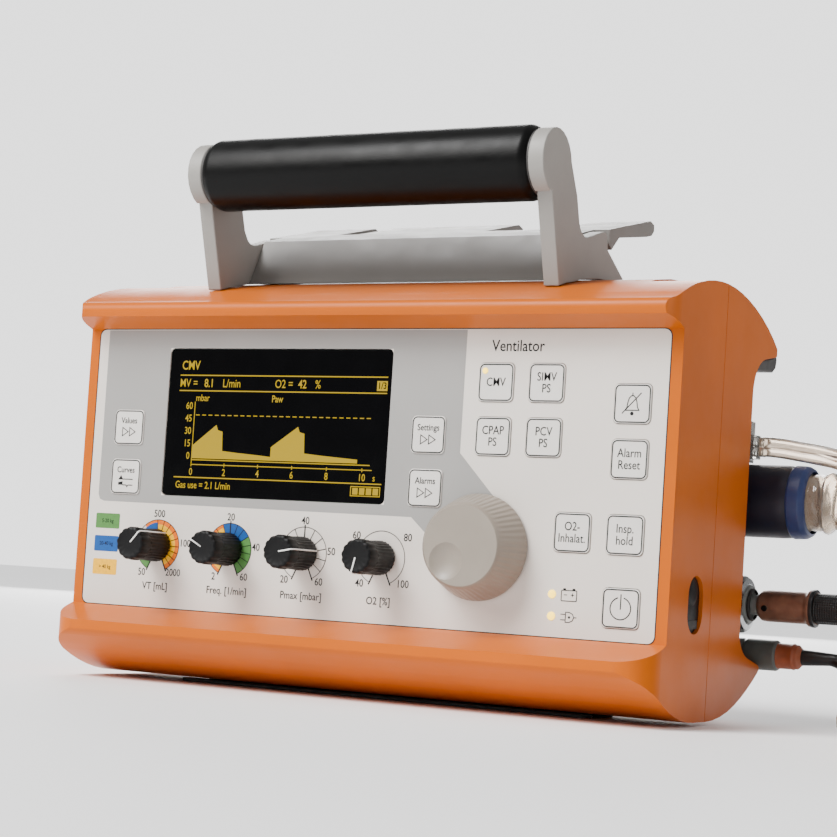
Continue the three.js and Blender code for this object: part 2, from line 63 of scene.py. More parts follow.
PANEL_TOP = 155.45
BLOCK_FACE = 128.8
PORT_DEPTH = 112
DC_DEPTH = 114
HOSE_HEIGHT = 95.5
SENSING_HEIGHT = 119
OXYGEN_HEIGHT = 50.4
DC_HEIGHT = 29.2
HOSE_AT = (PORT_DEPTH, HOSE_HEIGHT)
OXYGEN_AT = (PORT_DEPTH, OXYGEN_HEIGHT)
DC_AT = (DC_DEPTH, DC_HEIGHT)
HOSE_DIAMETER = 27
OXYGEN_DIAMETER = 13.4
SENSING_DIAMETER = 8.8
DC_DIAMETER = 4.6
COIL_X = 373
COIL_DEPTH = -23
KNOB_X, KNOB_HEIGHT = 59.6, 66.3


def place(across, depth, height):
    """A point in the shared frame, in metres."""
    return Vector((across, depth - CENTRE_DEPTH, height)) * MM


def in_scene(name, data):
    """A new object in the scene."""
    made = bpy.data.objects.new(name, data)
    bpy.context.scene.collection.objects.link(made)
    return made


# ---------------------------------------------------------------- camera, floor and light
CAMERA_AT = (442.6, -765.1, 48.6)
CAMERA_RIGHT = (0.87758, 0.47512, 0.06420)
CAMERA_UP = (-0.03215, -0.07528, 0.99664)
CAMERA_BACK = (0.47836, -0.87670, -0.05078)


def add_camera():
    """The viewing angle: a little to the right of the front, near the floor, looking slightly up."""
    data = bpy.data.cameras.new("view_camera")
    data.sensor_width = 36
    data.lens = 90.86
    data.shift_x = 0.0115
    data.shift_y = 0.0725
    data.clip_start = 0.01
    data.clip_end = 60
    camera = in_scene("view_camera", data)
    turn = Matrix((CAMERA_RIGHT, CAMERA_UP, CAMERA_BACK)).transposed().to_4x4()
    camera.matrix_world = Matrix.Translation(place(*CAMERA_AT)) @ turn
    bpy.context.scene.camera = camera


def facing(direction):
    """The turn that makes a lamp shine along a direction."""
    return Vector(direction).to_track_quat("-Z", "Y").to_matrix().to_4x4()


def add_light(name, at, towards, size, power, colour=(1, 1, 1)):
    """A round soft light."""
    data = bpy.data.lights.new(name, "AREA")
    data.shape = "DISK"
    data.size = size
    data.energy = power
    data.color = colour
    turn = facing(Vector(towards) - Vector(at))
    in_scene(name, data).matrix_world = Matrix.Translation(at) @ turn


def add_sun(name, come_from, strength, softness_degrees):
    """Even light over the whole floor, soft as from a wide window."""
    data = bpy.data.lights.new(name, "SUN")
    data.energy = strength
    data.angle = math.radians(softness_degrees)
    in_scene(name, data).matrix_world = facing(-Vector(come_from))


add_camera()
add_sun("daylight", (-0.5, -0.9, 1.25), 4.5, 28)
add_light("key_light", (-1.3, -1.9, 1.5), (0, 0, 0.1), 1.2, 45, (1, 0.985, 0.96))
add_light("back_light", (-1.35, 2.5, 1.0), (0, 0, 0.15), 2.0, 70)
add_light("side_light", (2.4, 0.3, 0.9), (0.1, 0, 0.1), 1.2, 12)
LIT_BY_SKY, SKY_AS_SEEN = 0.4, 2.2
world = bpy.data.worlds.new("studio")
bpy.context.scene.world = world
world.use_nodes = True
sky = world.node_tree.nodes["Background"]
sky.inputs["Color"].default_value = (1, 1, 1, 1)
seen_or_lit = world.node_tree.nodes.new("ShaderNodeLightPath").outputs["Is Camera Ray"]
brightness = world.node_tree.nodes.new("ShaderNodeMapRange")
brightness.inputs["To Min"].default_value = LIT_BY_SKY
brightness.inputs["To Max"].default_value = SKY_AS_SEEN
world.node_tree.links.new(seen_or_lit, brightness.inputs["Value"])
world.node_tree.links.new(brightness.outputs["Result"], sky.inputs["Strength"])


# ---------------------------------------------------------------- materials
def linear(colour):
    """An sRGB colour of 0 to 255 steps as the linear colour that shaders take."""
    parts = [c / 255 for c in colour]
    return tuple(c / 12.92 if c < 0.04045 else ((c + 0.055) / 1.055) ** 2.4 for c in parts) + (1.0,)


def shaded(colour, amount):
    """The colour made darker (amount below 1) or lighter (above 1)."""
    return tuple(min(255, c * amount) for c in colour)


class Finish:
    """A material in the making: a Principled shader fed by patterns that follow the piece."""

    def __init__(self, name, **fixed):
        self.material = bpy.data.materials.new(name)
        self.material.use_nodes = True
        self.tree = self.material.node_tree
        self.shader = self.tree.nodes["Principled BSDF"]
        self.coordinates = self.tree.nodes.new("ShaderNodeTexCoord").outputs["Object"]
        for socket, value in fixed.items():
            self.shader.inputs[socket.replace("_", " ")].default_value = value

    def node(self, kind, **settings):
        made = self.tree.nodes.new("ShaderNode" + kind)
        for key, value in settings.items():
            setattr(made, key, value)
        return made

    def join(self, source, target):
        self.tree.links.new(source, target)

    def feed(self, source, socket):
        """Leads a source into a socket of the shader."""
        self.join(source, self.shader.inputs[socket])

    def noise(self, size, detail=2.0):
        """Soft noise whose patches are about size millimetres."""
        made = self.node("TexNoise")
        made.inputs["Scale"].default_value = 1 / (size * MM)
        made.inputs["Detail"].default_value = detail
        self.join(self.coordinates, made.inputs["Vector"])
        return made.outputs["Fac"]

    def ranged(self, source, low, high, from_low=0.3, from_high=0.7):
        made = self.node("MapRange")
        made.inputs["From Min"].default_value = from_low
        made.inputs["From Max"].default_value = from_high
        made.inputs["To Min"].default_value = low
        made.inputs["To Max"].default_value = high
        self.join(source, made.inputs["Value"])
        return made.outputs["Result"]

    def mixed(self, factor, first, second):
        """A colour between two, each either a colour or another socket."""
        made = self.node("Mix", data_type="RGBA")
        self.join(factor, made.inputs[0])
        for value, socket in ((first, made.inputs[6]), (second, made.inputs[7])):
            if isinstance(value, bpy.types.NodeSocket):
                self.join(value, socket)
            else:
                socket.default_value = value
        return made.outputs[2]

    def calculated(self, operation, first, second=None):
        """A number worked out from sockets or plain values."""
        made = self.node("Math", operation=operation)
        self.join(first, made.inputs[0])
        if isinstance(second, (int, float)):
            made.inputs[1].default_value = second
        elif second is not None:
            self.join(second, made.inputs[1])
        return made.outputs[0]

    def bump(self, *heights):
        """Bump from (source, height in millimetres) pairs, one on top of another."""
        normal = None
        for source, height in heights:
            made = self.node("Bump")
            made.inputs["Strength"].default_value = 1.0
            made.inputs["Distance"].default_value = height * MM
            self.join(source, made.inputs["Height"])
            if normal is not None:
                self.join(normal, made.inputs["Normal"])
            normal = made.outputs["Normal"]
        self.feed(normal, "Normal")

    def wear(self, colour, worn, amount):
        """Edges rubbed towards a worn colour."""
        edges = self.ranged(self.node("NewGeometry").outputs["Pointiness"], 0, amount, 0.52, 0.62)
        return self.mixed(edges, colour, worn)


def moulded(
    name, colour, spread=0.05, patch=25, gloss=(0.35, 0.45), grain=0.7, relief=0.012, worn=0.0, **fixed
):
    """A moulded, painted or cast surface: close colours in patches, uneven gloss and a fine grain."""
    finish = Finish(name, **fixed)
    light = linear(shaded(colour, 1 + spread))
    dark = linear(shaded(colour, 1 - spread))
    tone = finish.mixed(finish.ranged(finish.noise(patch), 0, 1), dark, light)
    if worn:
        tone = finish.wear(tone, linear(shaded(colour, 1.25)), worn)
    finish.feed(tone, "Base Color")
    finish.feed(finish.ranged(finish.noise(patch * 0.35, 4), *gloss), "Roughness")
    finish.bump((finish.noise(grain, 1), relief), (finish.noise(grain * 14, 2), relief * 1.5))
    return finish.material


def ink(name, colour, glow=0.0, body=1.0):
    """Printed ink, a little uneven, or a lit display segment."""
    finish = Finish(name, Specular_IOR_Level=0.25)
    dark = linear(shaded(colour, 0.93 * body))
    finish.feed(
        finish.mixed(finish.ranged(finish.noise(1.2), 0, 1), dark, linear(shaded(colour, body))),
        "Base Color",
    )
    finish.feed(finish.ranged(finish.noise(2), 0.4, 0.5), "Roughness")
    finish.bump((finish.noise(0.8), 0.004))
    if glow:
        finish.shader.inputs["Emission Color"].default_value = linear(colour)
        finish.shader.inputs["Emission Strength"].default_value = glow
    return finish.material


def clear(name, colour, cloud=0.15, rough=0.12):
    """Clear soft plastic with a slight tint and cloudiness."""
    finish = Finish(name, Transmission_Weight=1 - cloud, IOR=1.42)
    light = linear(colour)
    finish.feed(
        finish.mixed(finish.ranged(finish.noise(9), 0, 1), linear(shaded(colour, 0.93)), light),
        "Base Color",
    )
    finish.feed(finish.ranged(finish.noise(5, 3), rough, rough + 0.1), "Roughness")
    finish.bump((finish.noise(1.5, 2), 0.02))
    return finish.material


def ridged_knob_finish():
    """Soft taupe plastic with fine ridges round the knob's side."""
    ridge_count = 54
    taupe = (140, 130, 118)
    finish = Finish("taupe_ridged", Coat_Weight=0.1, Coat_Roughness=0.4)
    place_on = finish.node("Mapping")
    axis = place(KNOB_X, 0, KNOB_HEIGHT)
    place_on.inputs["Location"].default_value = (-axis.x, 0, -axis.z)
    finish.join(finish.coordinates, place_on.inputs["Vector"])
    parts = finish.node("SeparateXYZ")
    finish.join(place_on.outputs["Vector"], parts.inputs["Vector"])
    angle = finish.calculated("ARCTAN2", parts.outputs["Z"], parts.outputs["X"])
    wave = finish.calculated("SINE", finish.calculated("MULTIPLY", angle, ridge_count))
    flat = finish.node("CombineXYZ")
    finish.join(parts.outputs["X"], flat.inputs["X"])
    finish.join(parts.outputs["Z"], flat.inputs["Z"])
    reach = finish.node("VectorMath", operation="LENGTH")
    finish.join(flat.outputs["Vector"], reach.inputs[0])
    on_side = finish.ranged(reach.outputs["Value"], 0, 1, 17.2 * MM, 18.2 * MM)
    ridges = finish.calculated("MULTIPLY", wave, on_side)
    patches = finish.ranged(finish.noise(12), 0, 1)
    tone = finish.mixed(patches, linear(shaded(taupe, 0.96)), linear(taupe))
    finish.feed(tone, "Base Color")
    finish.feed(finish.ranged(finish.noise(3, 3), 0.38, 0.5), "Roughness")
    finish.bump((ridges, 0.12), (finish.noise(0.5), 0.008))
    return finish.material


def woven(name, colour, size):
    """Tightly woven cover, as on a hose or strap: two crossing sets of fine ribs."""
    finish = Finish(name)
    waves = []
    for direction in ("X", "Z"):
        rib = finish.node("TexWave", bands_direction=direction)
        rib.inputs["Scale"].default_value = 1 / (size * MM * 3)
        rib.inputs["Distortion"].default_value = 0.6
        finish.join(finish.coordinates, rib.inputs["Vector"])
        waves.append(rib.outputs["Fac"])
    # The colour follows the first set of ribs, darker in their hollows: painted shade between the ribs.
    tone = finish.mixed(finish.ranged(waves[0], 0, 1, 0, 1), linear(shaded(colour, 0.7)), linear(colour))
    finish.feed(tone, "Base Color")
    finish.feed(finish.ranged(finish.noise(6, 3), 0.26, 0.42), "Roughness")
    finish.bump((waves[0], 0.12), (waves[1], 0.12))
    return finish.material


ORANGE = (190, 91, 0)
LOOKS = {
    "orange": moulded(
        "orange_shell", ORANGE, 0.03, 60, (0.3, 0.4), 0.6, 0.006, Specular_IOR_Level=0.17
    ),
    "panel": moulded("panel_film", (224, 216, 207), 0.012, 40, (0.36, 0.46), 0.5, 0.004),
    "zone": moulded("panel_zone", (150, 148, 145), 0.012, 40, (0.36, 0.46), 0.5, 0.004),
    "key": moulded("key_cap", (224, 220, 214), 0.012, 12, (0.28, 0.38), 0.5, 0.004, Coat_Weight=0.2),
    "glass": moulded("screen_glass", (1, 1, 2), 0.2, 30, (0.1, 0.16), 3, 0.001, Specular_IOR_Level=0.15),
    "black": moulded(
        "black_plastic", (6, 6, 6), 0.15, 10, (0.34, 0.5), 0.4, 0.012, Specular_IOR_Level=0.2
    ),
    "knob": moulded("knob_black", (3, 3, 4), 0.15, 8, (0.46, 0.58), 0.35, 0.01, Specular_IOR_Level=0.2),
    "grip": moulded(
        "grip_rubber", (2, 2, 2), 0.2, 30, (0.3, 0.42), 0.6, 0.04, Specular_IOR_Level=0.14
    ),
    "casting": moulded("handle_casting", (142, 139, 134), 0.03, 30, (0.4, 0.5), 0.55, 0.012),
    "tray": moulded("tray_casting", (120, 117, 113), 0.03, 30, (0.36, 0.48), 0.55, 0.012),
    "rubber": moulded("rubber", (52, 50, 49), 0.12, 14, (0.55, 0.72), 0.8, 0.03, 0.2),
    "grey": moulded("grey_plastic", (128, 132, 130), 0.05, 15, (0.35, 0.5), 0.5, 0.012, 0.2),
    "dark_grey": moulded("dark_grey", (44, 45, 47), 0.08, 10, (0.35, 0.5), 0.5, 0.012, 0.2),
    "steel": moulded("steel", (178, 180, 182), 0.06, 8, (0.22, 0.34), 0.5, 0.006, 0.0, Metallic=1.0),
    "brass": moulded("brass", (190, 158, 98), 0.06, 8, (0.22, 0.34), 0.5, 0.006, 0.0, Metallic=1.0),
    "navy": moulded("navy_rubber", (9, 14, 36), 0.12, 18, (0.4, 0.55), 0.6, 0.02, 0.25, Sheen_Weight=0.1),
    "navy_band": moulded("navy_band", (40, 56, 104), 0.06, 10, (0.35, 0.5), 0.6, 0.012, 0.2),
    "bronze": moulded(
        "bronze_coupling", (132, 96, 78), 0.12, 6, (0.3, 0.42), 0.5, 0.012, 0.4, Metallic=0.25
    ),
    "rust": moulded("rust_plug", (158, 84, 52), 0.08, 6, (0.35, 0.5), 0.5, 0.012, 0.3),
    "collar": moulded("collar_grey", (92, 97, 94), 0.08, 8, (0.3, 0.45), 0.5, 0.012, 0.3),
    "lead": moulded("lead_black", (8, 8, 9), 0.2, 12, (0.38, 0.52), 0.6, 0.012, Coat_Weight=0.1),
    "hose": woven("hose_black", (10, 10, 11), 1.1),
    "strap": woven("strap_black", (30, 32, 38), 0.8),
    "board": moulded("circuit_board", (30, 88, 54), 0.15, 5, (0.35, 0.55), 1.2, 0.05),
    "battery": moulded("battery_case", (46, 74, 122), 0.08, 12, (0.4, 0.55), 0.6, 0.012),
    "clear": clear("clear_tube", (252, 240, 226), 0.1, 0.06),
    "clear_line": clear("clear_line", (244, 226, 205), 0.3, 0.1),
    "clear_hard": clear("clear_hard", (236, 236, 232), 0.25, 0.06),
    "valve_blue": clear("valve_blue", (120, 168, 214), 0.35, 0.15),
    "taupe": ridged_knob_finish(),
    "print": ink("print_dark", (24, 24, 25)),
    "outline": ink("key_outline", (26, 26, 28)),
    "white": ink("pointer_white", (240, 240, 236)),
    "green": ink("scale_green", (80, 132, 66)),
    "blue": ink("scale_blue", (22, 80, 150)),
    "yellow": ink("scale_yellow", (250, 186, 6)),
    "amber": ink("scale_amber", (232, 112, 12)),
    "lit": ink("display_yellow", (255, 212, 0), 0.7, 0.1),
    "lamp": ink("lamp_yellow", (255, 214, 70), 3.0),
}

floor_finish = Finish("pale_floor")
pale, paler = linear((246, 246, 247)), linear((250, 250, 250))
floor_tone = floor_finish.mixed(floor_finish.noise(400), pale, paler)
floor_finish.feed(floor_tone, "Base Color")
floor_finish.shader.inputs["Roughness"].default_value = 0.7
bpy.ops.mesh.primitive_grid_add(x_subdivisions=8, y_subdivisions=8, size=40)
floor = bpy.context.object
floor.name = "pale_floor"
floor.data.materials.append(floor_finish.material)


# ---------------------------------------------------------------- making pieces
def link(name, mesh, material, body):
    """A mesh as a piece of the model that moves with a body."""
    piece = in_scene(name, mesh)
    mesh.materials.clear()
    mesh.materials.append(LOOKS[material])
    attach(piece, body)
    return piece


def smooth(mesh, sharp_degrees=35):
    mesh.polygons.foreach_set("use_smooth", [True] * len(mesh.polygons))
    mesh.set_sharp_from_angle(angle=math.radians(sharp_degrees))


def finished(name, work, material, body=WHOLE, sharp_degrees=35):
    """A worked shape as a smooth piece, with its edges sharp where it bends by more than an angle."""
    mesh = bpy.data.meshes.new(name)
    work.to_mesh(mesh)
    work.free()
    smooth(mesh, sharp_degrees)
    return link(name, mesh, material, body)


def thickened(piece, thickness, offset=0):
    """Gives an open surface a thickness in millimetres; an offset of -1 puts it all inside."""
    wall = piece.modifiers.new("thickness", "SOLIDIFY")
    wall.thickness = thickness * MM
    wall.offset = offset
    return piece


def bridge(work, near, far):
    """Faces between two closed rings with as many corners."""
    count = len(near)
    for k in range(count):
        work.faces.new((near[k], near[(k + 1) % count], far[(k + 1) % count], far[k]))


def body_of(node):
    return frame["nodes"][node]["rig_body"]


def dressed(node, material, rounding=0.5, segments=3, join_below=0.5):
    """A CAD node's own shape with its edges rounded over, shown instead of the node."""
    work = bmesh.new()
    work.from_mesh(frame["nodes"][node].data)
    bmesh.ops.remove_doubles(work, verts=work.verts, dist=0.002 * MM)
    flat = math.radians(join_below)
    bmesh.ops.dissolve_limit(work, angle_limit=flat, verts=work.verts, edges=work.edges)
    mesh = bpy.data.meshes.new(node + "_look")
    work.to_mesh(mesh)
    work.free()
    mesh.polygons.foreach_set("use_smooth", [True] * len(mesh.polygons))
    piece = link(node + "_look", mesh, material, body_of(node))
    if rounding:
        bevel = piece.modifiers.new("rounding", "BEVEL")
        bevel.width = rounding * MM
        bevel.segments = segments
        bevel.limit_method = "ANGLE"
        bevel.angle_limit = math.radians(32)
        bevel.miter_outer = "MITER_ARC"
        bevel.use_clamp_overlap = True
    weights = piece.modifiers.new("even_shading", "WEIGHTED_NORMAL")
    weights.keep_sharp = True
    weights.weight = 100
    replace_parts(piece, node)
    return piece


def painted(node, material):
    """A CAD node shown as it is, with a finish of its own."""
    mesh = frame["nodes"][node].data
    mesh.materials.clear()
    mesh.materials.append(LOOKS[material])


def turned(name, profile, start, direction, material, body=WHOLE, sides=56, ripple=None):
    """A profile of (station, radius) pairs in millimetres, turned about a line from start.
    ripple, if given, is a function of (station, angle) that adds to the radius."""
    along = Vector(direction).normalized()
    side = along.orthogonal().normalized()
    other = along.cross(side)
    work = bmesh.new()
    rings = []
    for station, radius in profile:
        if radius < 1e-6:
            rings.append([work.verts.new(start + along * station * MM)])
            continue
        ring = []
        for i in range(sides):
            angle = 2 * math.pi * i / sides
            reach = radius + (ripple(station, angle) if ripple else 0)
            offset = (side * math.cos(angle) + other * math.sin(angle)) * reach
            ring.append(work.verts.new(start + (along * station + offset) * MM))
        rings.append(ring)
    for near, far in zip(rings, rings[1:]):
        for i in range(sides):
            corners = [near[i % len(near)], near[(i + 1) % len(near)]]
            corners += [far[(i + 1) % len(far)], far[i % len(far)]]
            corners = list(dict.fromkeys(corners))
            if len(corners) > 2:
                work.faces.new(corners)
    bmesh.ops.recalc_face_normals(work, faces=work.faces)
    return finished(name, work, material, body)


def rounded_profile(corners, rounding, steps=4):
    """A turned profile with each inner corner replaced by a small arc."""
    if not rounding:
        return corners
    points = [Vector(c) for c in corners]
    result = [tuple(points[0])]
    for before, here, after in zip(points, points[1:], points[2:]):
        to_before, to_after = before - here, after - here
        reach = min(rounding, to_before.length * 0.45, to_after.length * 0.45)
        first = here + to_before.normalized() * reach
        last = here + to_after.normalized() * reach
        for i in range(steps + 1):
            t = i / steps
            point = first * (1 - t) ** 2 + here * 2 * t * (1 - t) + last * t**2
            result.append(tuple(point))
    result.append(tuple(points[-1]))
    return result


def block(name, low, high, material, body=WHOLE, rounding=0.4):
    """A box between two corners, with rounded edges."""
    work = bmesh.new()
    bmesh.ops.create_cube(work, size=1)
    for vert in work.verts:
        vert.co = Vector([a + (b - a) * (c + 0.5) for a, b, c in zip(low, high, vert.co)])
    edges = work.edges[:]
    bmesh.ops.bevel(work, geom=edges, offset=rounding * MM, segments=3, profile=0.5, affect="EDGES")
    return finished(name, work, material, body)


# ---------------------------------------------------------------- cords
def coil_point(degrees, radius, height):
    """A point round the coils' middle, at an angle counted anticlockwise from across."""
    angle = math.radians(degrees)
    return (COIL_X + radius * math.cos(angle), COIL_DEPTH + radius * math.sin(angle), height)


def coil_points(*spots):
    return [coil_point(*spot) for spot in spots]


def coil_turns(start, way, turns, last_degrees=0, per_turn=16):
    """Points of a coil from an angle, in turns of (radius, height); way is 1 anticlockwise, -1
    clockwise. Each turn eases into the next one over its last part."""
    points = []
    total = 360 * len(turns) + last_degrees
    step = 360 / per_turn
    count = int(total / step)
    for i in range(1, count + 1):
        travelled = i * step
        turn = min(int(travelled // 360), len(turns) - 1)
        radius, height = turns[turn]
        if turn + 1 < len(turns):
            ease = max(0.0, (travelled - 360 * turn - 290) / 70)
            ease = ease * ease * (3 - 2 * ease)
            radius += (turns[turn + 1][0] - radius) * ease
            height += (turns[turn + 1][1] - height) * ease
        points.append(coil_point(start + way * travelled, radius, height))
    return points


def line_curve(name, points):
    """A smooth open curve through points given in millimetres."""
    curve = bpy.data.curves.new(name, "CURVE")
    curve.dimensions = "3D"
    curve.resolution_u = 6
    spline = curve.splines.new("BEZIER")
    spline.bezier_points.add(len(points) - 1)
    for knot, point in zip(spline.bezier_points, points):
        knot.co = place(*point)
        knot.handle_left_type = "AUTO"
        knot.handle_right_type = "AUTO"
    return in_scene(name, curve)


def dense_line(name, points, step):
    """Points a step apart (millimetres) along the smooth line through the given points."""
    guide = line_curve(name, points)
    bpy.context.view_layer.update()
    corners = [v.co.copy() for v in guide.to_mesh().vertices]
    guide.to_mesh_clear()
    bpy.data.objects.remove(guide)
    line = [corners[0]]
    left = step * MM
    for start, end in zip(corners, corners[1:]):
        length = (end - start).length
        at = left
        while at < length:
            line.append(start.lerp(end, at / length))
            at += step * MM
        left = at - length
    return line


def tube(name, line, radius_at, sides, material, body=WHOLE):
    """A round tube along a dense line; its radius (millimetres) depends on the length so far."""
    work = bmesh.new()
    rings = []
    side = Vector((0, 0, 1))
    travelled = 0.0
    for i, centre in enumerate(line):
        along = (line[min(i + 1, len(line) - 1)] - line[max(i - 1, 0)]).normalized()
        side = (side - along * side.dot(along)).normalized()
        other = along.cross(side)
        if i:
            travelled += (centre - line[i - 1]).length / MM
        reach = radius_at(travelled) * MM
        angles = [2 * math.pi * k / sides for k in range(sides)]
        offsets = [(side * math.cos(a) + other * math.sin(a)) * reach for a in angles]
        rings.append([work.verts.new(centre + offset) for offset in offsets])
    for near, far in zip(rings, rings[1:]):
        bridge(work, near, far)
    work.faces.new(list(reversed(rings[0])))
    work.faces.new(rings[-1])
    bmesh.ops.recalc_face_normals(work, faces=work.faces)
    return finished(name, work, material, body, 60)


def strap(name, degrees, inner, outer, high, width, material="strap"):
    """A soft strap drawn round a coil's section, with its two edges drawn in a little."""
    angle = math.radians(degrees)
    outwards = Vector((math.cos(angle), math.sin(angle), 0))
    across = Vector((-math.sin(angle), math.cos(angle), 0))
    middle = place(COIL_X, COIL_DEPTH, 0)
    corner = min(high, outer - inner) * 0.32
    loop = []
    for centre_r, centre_h, first in (
        (outer - corner, corner, -90),
        (outer - corner, high - corner, 0),
        (inner + corner, high - corner, 90),
        (inner + corner, corner, 180),
    ):
        for k in range(7):
            turn = math.radians(first + 15 * k)
            loop.append((centre_r + corner * math.cos(turn), centre_h + corner * math.sin(turn)))
    work = bmesh.new()
    rows = []
    for end, shrink in ((-0.5, 0.4), (-0.42, 0), (0.42, 0), (0.5, 0.4)):
        row = []
        for reach, height in loop:
            mid_r, mid_h = (inner + outer) / 2, high / 2
            pull = 1 - shrink / max(1.0, math.hypot(reach - mid_r, height - mid_h))
            r = mid_r + (reach - mid_r) * pull
            h = mid_h + (height - mid_h) * pull
            offset = outwards * r + across * end * width + Vector((0, 0, h))
            row.append(work.verts.new(middle + offset * MM))
        rows.append(row)
    for near, far in zip(rows, rows[1:]):
        bridge(work, near, far)
    bmesh.ops.recalc_face_normals(work, faces=work.faces)
    return thickened(finished(name, work, material, WHOLE, 50), 0.9, -1)


def round_cord(name, points, diameter, material, section=None):
    """A cord of even thickness as one smooth curve."""
    piece = line_curve(name, points)
    if section:
        piece.data.bevel_mode = "OBJECT"
        piece.data.bevel_object = section
        piece.data.twist_mode = "Z_UP"
    else:
        piece.data.bevel_depth = diameter / 2 * MM
        piece.data.bevel_resolution = 5
    piece.data.use_fill_caps = True
    piece.data.materials.append(LOOKS[material])
    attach(piece, WHOLE)
    return piece


# The breathing hose: it sags to the lying coil, makes part of a turn on top of it and goes down into it.
HOSE_TOP = HOSE_DIAMETER * 1.5 + 0.4
HOSE_COIL = 135
hose_points = [(160.5, *HOSE_AT), (170, *HOSE_AT), (180, PORT_DEPTH, HOSE_HEIGHT - 1)]
sagging = [(205, 90), (240, 78), (275, 63.5), (310, 50.5), (342, 42.8)]
hose_points += [(across, PORT_DEPTH, height) for across, height in sagging]
hose_points += [coil_point(90 - 22.5 * i, HOSE_COIL, HOSE_TOP) for i in range(7)]
dropping = [(-65, HOSE_TOP - 1), (-80, 36), (-95, 27), (-110, 18.5), (-125, 14)]
hose_points += [coil_point(degrees, HOSE_COIL, height) for degrees, height in dropping]
hose_points += [coil_point(-145 - 21 * i, HOSE_COIL, HOSE_DIAMETER / 2) for i in range(12)]
hose_points += coil_points(
    (-396, 133, 13.5), (-412, 126, 13.5), (-428, 115, 13.3), (-440, 107.5, 13.1), (-449, 105, 13)
)
HOSE_PITCH = 8.0
hose_line = dense_line("hose_guide", hose_points, HOSE_PITCH / 6)


def hose_radius(travelled):
    """Rounded ridges, with a plain cuff at the start."""
    if travelled < 6:
        return 12.2
    ridge = 0.5 + 0.5 * math.cos(2 * math.pi * (travelled - 9) / HOSE_PITCH)
    return 10.5 + 3.0 * ridge**0.8


breathing_hose = thickened(tube("breathing_hose", hose_line, hose_radius, 28, "clear"), 0.9, -1)
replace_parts(breathing_hose, "hose_run", "hose_coil")

# The oxygen hose: over the breathing hose, then three turns inwards and three outwards underneath.
OXYGEN_OVER = HOSE_DIAMETER + OXYGEN_DIAMETER / 2 + 0.6
oxygen_points = [(166.3, *OXYGEN_AT), (178, *OXYGEN_AT), (192, PORT_DEPTH - 1, OXYGEN_HEIGHT - 0.6)]
oxygen_points += [(222, 100, 46), (248, 81, 38)]
oxygen_points += coil_points(
    (142, 138, OXYGEN_OVER), (144, 120, OXYGEN_OVER), (156, 108.5, 29.5), (170, 101, 23.5),
    (184, 99.2, 20.3), (200, 92, 20.1), (216, 86.5, 20.1),
)
oxygen_rings = [85.4, 72, 58.6]
oxygen_turns = [(r, 20.1) for r in oxygen_rings] + [(r, 6.7) for r in reversed(oxygen_rings)]
oxygen_points += coil_turns(216, 1, oxygen_turns, 68)
oxygen_points += coil_points((300, 89, 6.8), (316, 95, 7.2), (332, 100, 7.9), (346, 101.5, 8.3))
oxygen_hose = round_cord("oxygen_hose", oxygen_points, OXYGEN_DIAMETER, "hose")
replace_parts(oxygen_hose, "oxygen_run", "oxygen_coil")

# The twin sensing line: two bonded tubes, one above the other.
twin_section = bpy.data.curves.new("twin_section", "CURVE")
twin_section.dimensions = "2D"
tube_radius = SENSING_DIAMETER / 4
twin_outline = []
for middle, first in ((tube_radius, -60), (-tube_radius, 120)):
    for i in range(16):
        angle = math.radians(first + 20 * i)
        twin_outline.append((tube_radius * math.cos(angle), middle + tube_radius * math.sin(angle)))
twin_spline = twin_section.splines.new("POLY")
twin_spline.points.add(len(twin_outline) - 1)
twin_spline.use_cyclic_u = True
for knot, (across, height) in zip(twin_spline.points, twin_outline):
    knot.co = (across * MM, height * MM, 0, 1)
twin_shape = in_scene("twin_section", twin_section)
twin_shape.hide_render = True

sensing_points = [(136.8, PORT_DEPTH, SENSING_HEIGHT), (142, PORT_DEPTH, SENSING_HEIGHT)]
sensing_points += [
    (155, PORT_DEPTH, 117.4), (172, 110, 114.4), (183, 103, 111), (192, 92, 104.5), (202, 76, 93),
    (212, 55, 77), (221, 30, 60), (229, 8, 49), (236, -14, 42), (241, -28, 38.7), (248, -46, 35.5),
    (262, -60, 33.2), (284, -64, 32.8), (304, -58, 33), (320, -48, 32.4),
]
sensing_points += coil_points((203, 45, 25), (186, 44, 17.5), (168, 45.5, 13.4), (150, 46.4, 13.2))
sensing_turns = [(46.4, 13.2), (37.6, 13.2), (37.6, 4.4), (46.4, 4.4)]
sensing_points += coil_turns(150, -1, sensing_turns, -20)
sensing_points += coil_points(
    (128, 47, 8), (112, 50, 18), (98, 56, 27), (84, 66, 31.6), (70, 78, 31.6), (54, 88, 29),
    (38, 96, 22), (20, 101.5, 14.5), (0, 104, 10.6), (-18, 104, 10.5), (-36.5, 104, 10.5),
)
sensing_line = round_cord("sensing_line", sensing_points, SENSING_DIAMETER, "clear_line", twin_shape)
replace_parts(sensing_line, "sensing_run", "sensing_coil")

